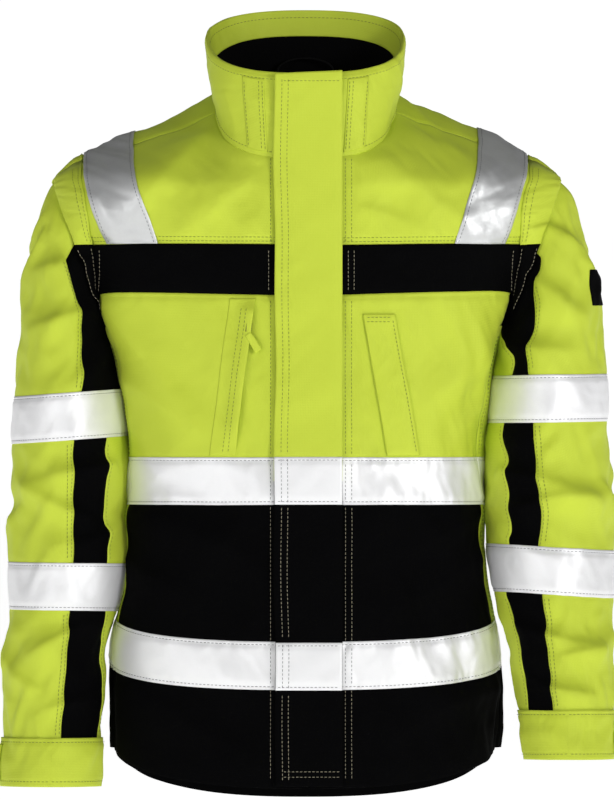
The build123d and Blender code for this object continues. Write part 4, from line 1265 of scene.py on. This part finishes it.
def stripe_turn(sleeve, limit):
    """The turn by way down where a ring first passes a limit of |x| given by height."""
    ways, turns = np.linspace(0, 1, 260), np.linspace(-1.45, 1.3, 560)
    p = sleeve.base(turns[None, :] + 0 * ways[:, None], ways[:, None] + 0 * turns[None, :])
    past = np.abs(p[..., 0]) - limit(p[..., 2]) > 0
    first = turns[np.where(past.any(1), past.argmax(1), len(turns) - 1)]
    smooth = np.convolve(np.pad(first, 4, mode="edge"), np.ones(9) / 9, mode="valid")
    return lambda way: np.interp(way, ways, smooth)


def sleeve_tapes(name, sleeve):
    """The two rings of tape, each with a row of stitches inside either edge."""
    t = np.linspace(RING_START, 4.0, 260)
    for place, (z_mid, slope) in zip(("upper", "lower"), SLEEVE_TAPES[name]):
        def ring_line(shift, z_mid=z_mid, slope=slope):
            return lambda turn: z_mid + slope * (247.0 + 55.0 * np.sin(turn) - 250.0) + shift

        tape = sleeve_panel(
            f"sleeve_tape_{place}_{name}", sleeve, ring_line(TAPE / 2), ring_line(-TAPE / 2),
            RING_START, FULL_TURN + RING_START, lift=1.3, thick=0.7, step=2.0, closed=True,
            dip=0.3, sewn=RINGED,
        )
        dress(tape, SILVER, f"sleeve_{name}", *([f"sleeve_tapes_{name}"] if place == "upper" else []))
        for shift in TAPE_ROWS[::-1]:
            ways = sleeve.way_at(t, ring_line(shift)(t))
            sew(f"{name}_grey", sleeve, t, ways, lift=1.35)


def cuff_and_tab(name, sleeve, low_z):
    """The cuff, a doubled band that stands a little off the sleeve, and the tab sewn on it."""
    def cuff_relief(p, t):
        above = p[..., 2] - low_z
        grooves = seam_groove(above - CUFF_ROW_LOW, 2.0, 0.6) + seam_groove(above - CUFF_ROW_HIGH, 2.0, 0.6)
        return 0.5 * np.sin(3 * t + p[..., 2] / 21.0) + grooves

    cuff = sleeve_panel(
        f"cuff_{name}", sleeve, low_z + CUFF_HIGH, low_z + 0.5, 0.0, FULL_TURN, lift=3.4,
        thick=2.0, step=2.0, closed=True, extra=cuff_relief, dip=0.9, sewn=RINGED,
    )
    dress(cuff, YELLOW, f"sleeve_{name}", f"cuff_{name}")
    tab = sleeve_panel(f"cuff_tab_{name}", sleeve, low_z + 44.0, low_z + 6.0, 1.29, 2.34,
                       lift=6.4, thick=1.8, step=1.6, dip=0.7)
    dress(tab, YELLOW, f"cuff_tab_{name}", f"cuff_tab_{name}")
    t = np.linspace(0, FULL_TURN, 240)
    for above in (CUFF_ROW_LOW, CUFF_ROW_HIGH):
        ways = sleeve.way_at(t, low_z + above + 0 * t)
        sew(f"{name}_yellow", sleeve, t, ways, lift=3.3)


def row_beside_stripe(name, sleeve, edge, shift, bottom):
    """A row beside an edge of the stripe, broken where the tapes cross it."""
    way = np.linspace(0.12, 0.9, 420)
    turn = edge(way) + shift / 62.0
    z = sleeve.base(turn, way)[..., 2]
    clear = z > bottom
    for z_mid, _ in SLEEVE_TAPES[name]:
        clear &= np.abs(z - z_mid) > TAPE / 2 + 2
    breaks = np.flatnonzero(np.diff(clear.astype(int)) != 0) + 1
    for run in np.split(np.arange(len(z)), breaks):
        if len(run) > 6 and clear[run[0]]:
            sew(f"{name}_yellow", sleeve, turn[run], way[run], lift=0.15)


for name, _ in SIDES:
    sleeve = sleeves[name]
    low_z = SLEEVE_RINGS[name][-1][1]
    outer_edge, inner_edge = (stripe_turn(sleeve, limit) for limit in STRIPE[name])
    cuff_top = low_z + CUFF_HIGH
    stripe = sleeve_panel(f"sleeve_stripe_{name}", sleeve, None, cuff_top - 5.0, inner_edge, outer_edge)
    dress(stripe, BLACK, f"sleeve_{name}", f"sleeve_stripe_{name}")
    shell = sleeve_panel(f"sleeve_{name}", sleeve, None, cuff_top - 5.0, outer_edge,
                         lambda way, edge=inner_edge: edge(way) + FULL_TURN, lift=0.1)
    dress(shell, YELLOW, f"sleeve_{name}", f"sleeve_{name}")
    lining = sleeve_panel(f"sleeve_lining_{name}", sleeve, None, low_z + 14.0, 0.0, FULL_TURN,
                          lift=-3.4, thick=0.8, step=4.5, closed=True, dip=0)
    dress(lining, LINING, f"sleeve_{name}", f"sleeve_lining_{name}")
    sleeve_tapes(name, sleeve)
    cuff_and_tab(name, sleeve, low_z)
    for edge, shift in ((outer_edge, 2.5), (outer_edge, 7.0), (inner_edge, -2.5)):
        row_beside_stripe(name, sleeve, edge, shift, cuff_top + 2)

badge = sleeve_panel("sleeve_badge_left", sleeves["left"], 548.0, 512.0, 1.05, 1.62,
                     lift=1.6, thick=0.9, step=1.6, dip=0.5)
dress(badge, BLACK, "sleeve_left", "sleeve_badge_left")

build_stitches()
THREADS = {"yellow": OLIVE_THREAD, "black": PALE_THREAD, "grey": GREY_THREAD}
SEWN_ON = {"flap": "storm_flap", "right": "sleeve_right", "left": "sleeve_left"}
for group in stitch_lines:
    *where, colour = group.split("_")
    dress(made[f"stitches_{group}"], THREADS[colour], SEWN_ON.get("".join(where), ROOT))
# ---- front zip: woven tapes and two rows of moulded teeth --------------------------------------
ZIP_PITCH = 1.5
TOOTH_X = np.array([-1.1, -0.5, 1.0, 2.5])      # across a tooth, from its tip to its root
TOOTH_HALF = np.array([0.55, 1.05, 0.6, 0.8])   # half its height at those places
TOOTH_BACK, TOOTH_FRONT = -1.95, -0.05          # out from the shell


def zip_tape(name, side):
    z = np.linspace(28.0, 748.0, 361)[:, None]
    x = side * np.linspace(2.2, 15.4, 7)[None, :] + 0 * z
    if side < 0:
        x = x[:, ::-1]
    cord = 0.35 * np.exp(-(((np.abs(x) - 3.2) / 1.1) ** 2)) + 0.12 * np.sin(z / 9.0 + np.abs(x))
    tape = cloth_sheet(f"zip_tape_{name}", flap_points(x, z, -1.75 + cord), flap_points(x, z, -2.35 + cord))
    dress(tape, LINING, ROOT, *(["zip_tapes"] if side < 0 else []))


def tooth(start, side, z):
    """Points and faces of one tooth: four edges along it, bevelled towards the front."""
    points, faces = [], []
    for out, bevel, narrow in ((TOOTH_BACK, 1.0, 1.0), (TOOTH_FRONT, 0.82, 0.96)):
        for up in (1, -1):
            points.append(flap_points(side * TOOTH_X * narrow, z + up * TOOTH_HALF * bevel, out))
    back_high, back_low, front_high, front_low = [start + 4 * r + np.arange(4) for r in range(4)]
    for a, b, turned in (
        (back_high, back_low, False), (front_high, front_low, True),
        (back_high, front_high, True), (back_low, front_low, False),
    ):
        for c in range(3):
            faces.append(([a[c], a[c + 1], b[c + 1], b[c]], turned))
    for c, turned in ((0, False), (3, True)):
        faces.append(([back_high[c], back_low[c], front_low[c], front_high[c]], turned))
    return points, [quad[::-1] if turned == (side > 0) else quad for quad, turned in faces]


for name, side in SIDES:
    zip_tape(name, side)
points, faces = [], []
for k, z in enumerate(np.arange(29.5, 747.0, ZIP_PITCH)):
    tooth_points, tooth_faces = tooth(k * 16, 1 if k % 2 else -1, z)
    points += tooth_points
    faces += tooth_faces
dress(new_mesh("zip_teeth", np.concatenate(points), faces, False), PLASTIC, ROOT, "zip_chain")

# ---- hanger loop: a webbing strap sewn into the neck seam --------------------------------------
LOOP_HALF, LOOP_ARCH = 29.0, 13.2
arch = np.linspace(math.pi, 0, 61)
leg = np.linspace(748.0, 756.0, 5)
loop_x = np.concatenate([[-LOOP_HALF] * 5, LOOP_HALF * np.cos(arch), [LOOP_HALF] * 5])
loop_z = np.concatenate([leg, 757.0 + LOOP_ARCH * np.sin(arch), leg[::-1]])
run = np.stack([np.gradient(loop_x), np.gradient(loop_z)], -1)
run /= np.linalg.norm(run, axis=-1, keepdims=True)
strap_y = np.linspace(62.2, 69.8, 7)[:, None]
off_middle = strap_y - ORIGIN[1]
rib = 0.16 * np.cos(math.pi * off_middle / 1.9) - 0.25 * (np.abs(off_middle) / 3.8) ** 4


def strap(off):
    high = off + rib + 0.12 * np.sin(loop_x / 3.1)[None, :] if off > 0 else off - rib
    return np.stack([loop_x - run[:, 1] * high, strap_y + 0 * loop_x, loop_z + run[:, 0] * high], -1)


dress(cloth_sheet("hanger_strap", strap(0.6), strap(-0.9)), LINING, ROOT, "hanger_loop")


# ---- pocket pull: a folded tab of the shell's cloth --------------------------------------------
def folded_pull():
    """The tab lies along the CAD pull's own axes and fills its length and width."""
    corners = np.array([tuple(v.co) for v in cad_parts["pocket_pull_right"].data.vertices])
    corners = corners * 1000 + ORIGIN
    heart = corners.mean(0)
    long_way, wide_way, thin_way = np.linalg.svd(corners - heart, full_matrices=False)[2]
    long_way = -long_way if long_way[2] > 0 else long_way
    thin_way = -thin_way if thin_way[1] > 0 else thin_way
    wide_way = -wide_way if np.dot(np.cross(wide_way, -long_way), thin_way) < 0 else wide_way
    half_long = np.abs((corners - heart) @ long_way).max()
    half_wide = np.abs((corners - heart) @ wide_way).max()
    v, u = np.meshgrid(np.linspace(1, -1, 22), np.linspace(-1, 1, 11), indexing="ij")
    narrow = 0.78 + 0.22 * ease(v, -1.0, 0.2)
    round_end = 1 - 0.16 * np.clip((np.abs(v) - 0.86) / 0.14, 0, 1) ** 2
    across = half_wide * u * narrow * round_end
    flat_tab = heart + long_way * (half_long * v)[..., None] + wide_way * across[..., None]
    swell = (1 - np.clip(np.abs(u), 0, 1) ** 6) * (1 - 0.9 * np.clip(np.abs(v), 0, 1) ** 10)
    seam_line = 0.22 * np.exp(-(((np.abs(u) - 0.7) / 0.12) ** 2)) + 0.25 * np.exp(-(((v - 0.8) / 0.06) ** 2))
    puff = 0.15 + 0.62 * swell - seam_line
    curl = 0.35 * v**2
    outer, inner = (flat_tab + thin_way * (curl + way * puff)[..., None] for way in (1, -1))
    return cloth_sheet("pocket_pull", outer, inner)


dress(folded_pull(), YELLOW, "pocket_pull", "pocket_pull_right")

# ---- the CAD pieces that keep their shape ----------------------------------------------------
for node in ("zip_slider", "zip_pull", "pocket_slider_right"):
    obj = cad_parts[node]
    obj.data.materials.clear()
    obj.data.materials.append(METAL)


for name, _ in SIDES:
    yoke, shell = f"yoke_front_{name}", f"sleeve_{name}"


# ---- camera, floor and light -----------------------------------------------------------------
def place_camera():
    """Far off in front with a long lens, level with the jacket's middle."""
    data = bpy.data.cameras.new("camera")
    data.lens, data.sensor_fit, data.sensor_height, data.clip_end = 627.0, "VERTICAL", 32.0, 60.0
    camera = bpy.data.objects.new("camera", data)
    camera.location = (0.0015, CAD_BOX[0][1] - 16.1, -0.3545)
    camera.rotation_euler = (math.pi / 2, 0, 0)
    bpy.context.scene.collection.objects.link(camera)
    bpy.context.scene.camera = camera


def backdrop():
    """A pale round floor; the light of the horizon meets it far away."""
    floor, count, radii = -0.80, 96, (1.0, 4.0, 12.0, 30.0, 60.0)
    around = np.linspace(0, FULL_TURN, count, endpoint=False)
    points = [(0.0, 0.0, floor)]
    for r in radii:
        points += [(r * math.sin(a), -r * math.cos(a), floor) for a in around]
    faces = [(0, 1 + k, 1 + (k + 1) % count) for k in range(count)]
    for start in range(1, 1 + (len(radii) - 1) * count, count):
        for k in range(count):
            after = (k + 1) % count
            faces.append((start + k, start + count + k, start + count + after, start + after))
    mesh = bpy.data.meshes.new("backdrop")
    mesh.from_pydata(points, [], faces)
    mesh.polygons.foreach_set("use_smooth", np.ones(len(faces), bool))
    obj = bpy.data.objects.new("backdrop", mesh)
    bpy.context.scene.collection.objects.link(obj)
    material, _, shader = nodes_of("studio_white")
    shader.inputs["Base Color"].default_value = (0.93, 0.93, 0.93, 1)
    shader.inputs["Roughness"].default_value = 0.9
    shader.inputs["Emission Color"].default_value = (1, 1, 1, 1)
    shader.inputs["Emission Strength"].default_value = 0.88
    mesh.materials.append(material)


def area_light(name, place, size, power):
    """A round light that faces the middle of the jacket."""
    data = bpy.data.lights.new(name, "AREA")
    data.shape, data.size, data.energy = "DISK", size, power
    obj = bpy.data.objects.new(name, data)
    obj.location = place
    way = Vector((0.0, 0.0, -0.35)) - Vector(place)
    obj.rotation_euler = way.to_track_quat("-Z", "Y").to_euler()
    bpy.context.scene.collection.objects.link(obj)


def sky():
    """White light, strongest from the horizon, which is what shows behind the jacket."""
    world = bpy.data.worlds.new("world")
    bpy.context.scene.world = world
    world.use_nodes = True
    tree = world.node_tree
    background = tree.nodes["Background"]
    background.inputs["Color"].default_value = (1, 1, 1, 1)
    way = add(tree, "ShaderNodeTexCoord")
    parts_of_way = add(tree, "ShaderNodeSeparateXYZ")
    tree.links.new(way.outputs["Generated"], parts_of_way.inputs[0])
    height = add(tree, "ShaderNodeMath", operation="ABSOLUTE")
    tree.links.new(parts_of_way.outputs["Z"], height.inputs[0])
    limits = {"From Min": 0.055, "From Max": 0.13, "To Min": 1.02, "To Max": 0.10}
    horizon = add(tree, "ShaderNodeMapRange", **limits)
    tree.links.new(height.outputs[0], horizon.inputs["Value"])
    tree.links.new(horizon.outputs["Result"], background.inputs["Strength"])


place_camera()
backdrop()
area_light("key", (2.1, -2.9, 0.45), 0.7, 38.5)
area_light("fill", (-2.6, -3.2, 0.3), 1.4, 19.5)
area_light("top", (-0.2, -1.2, 2.3), 0.9, 2.0)
sky()
bpy.context.scene.view_settings.view_transform = "Standard"
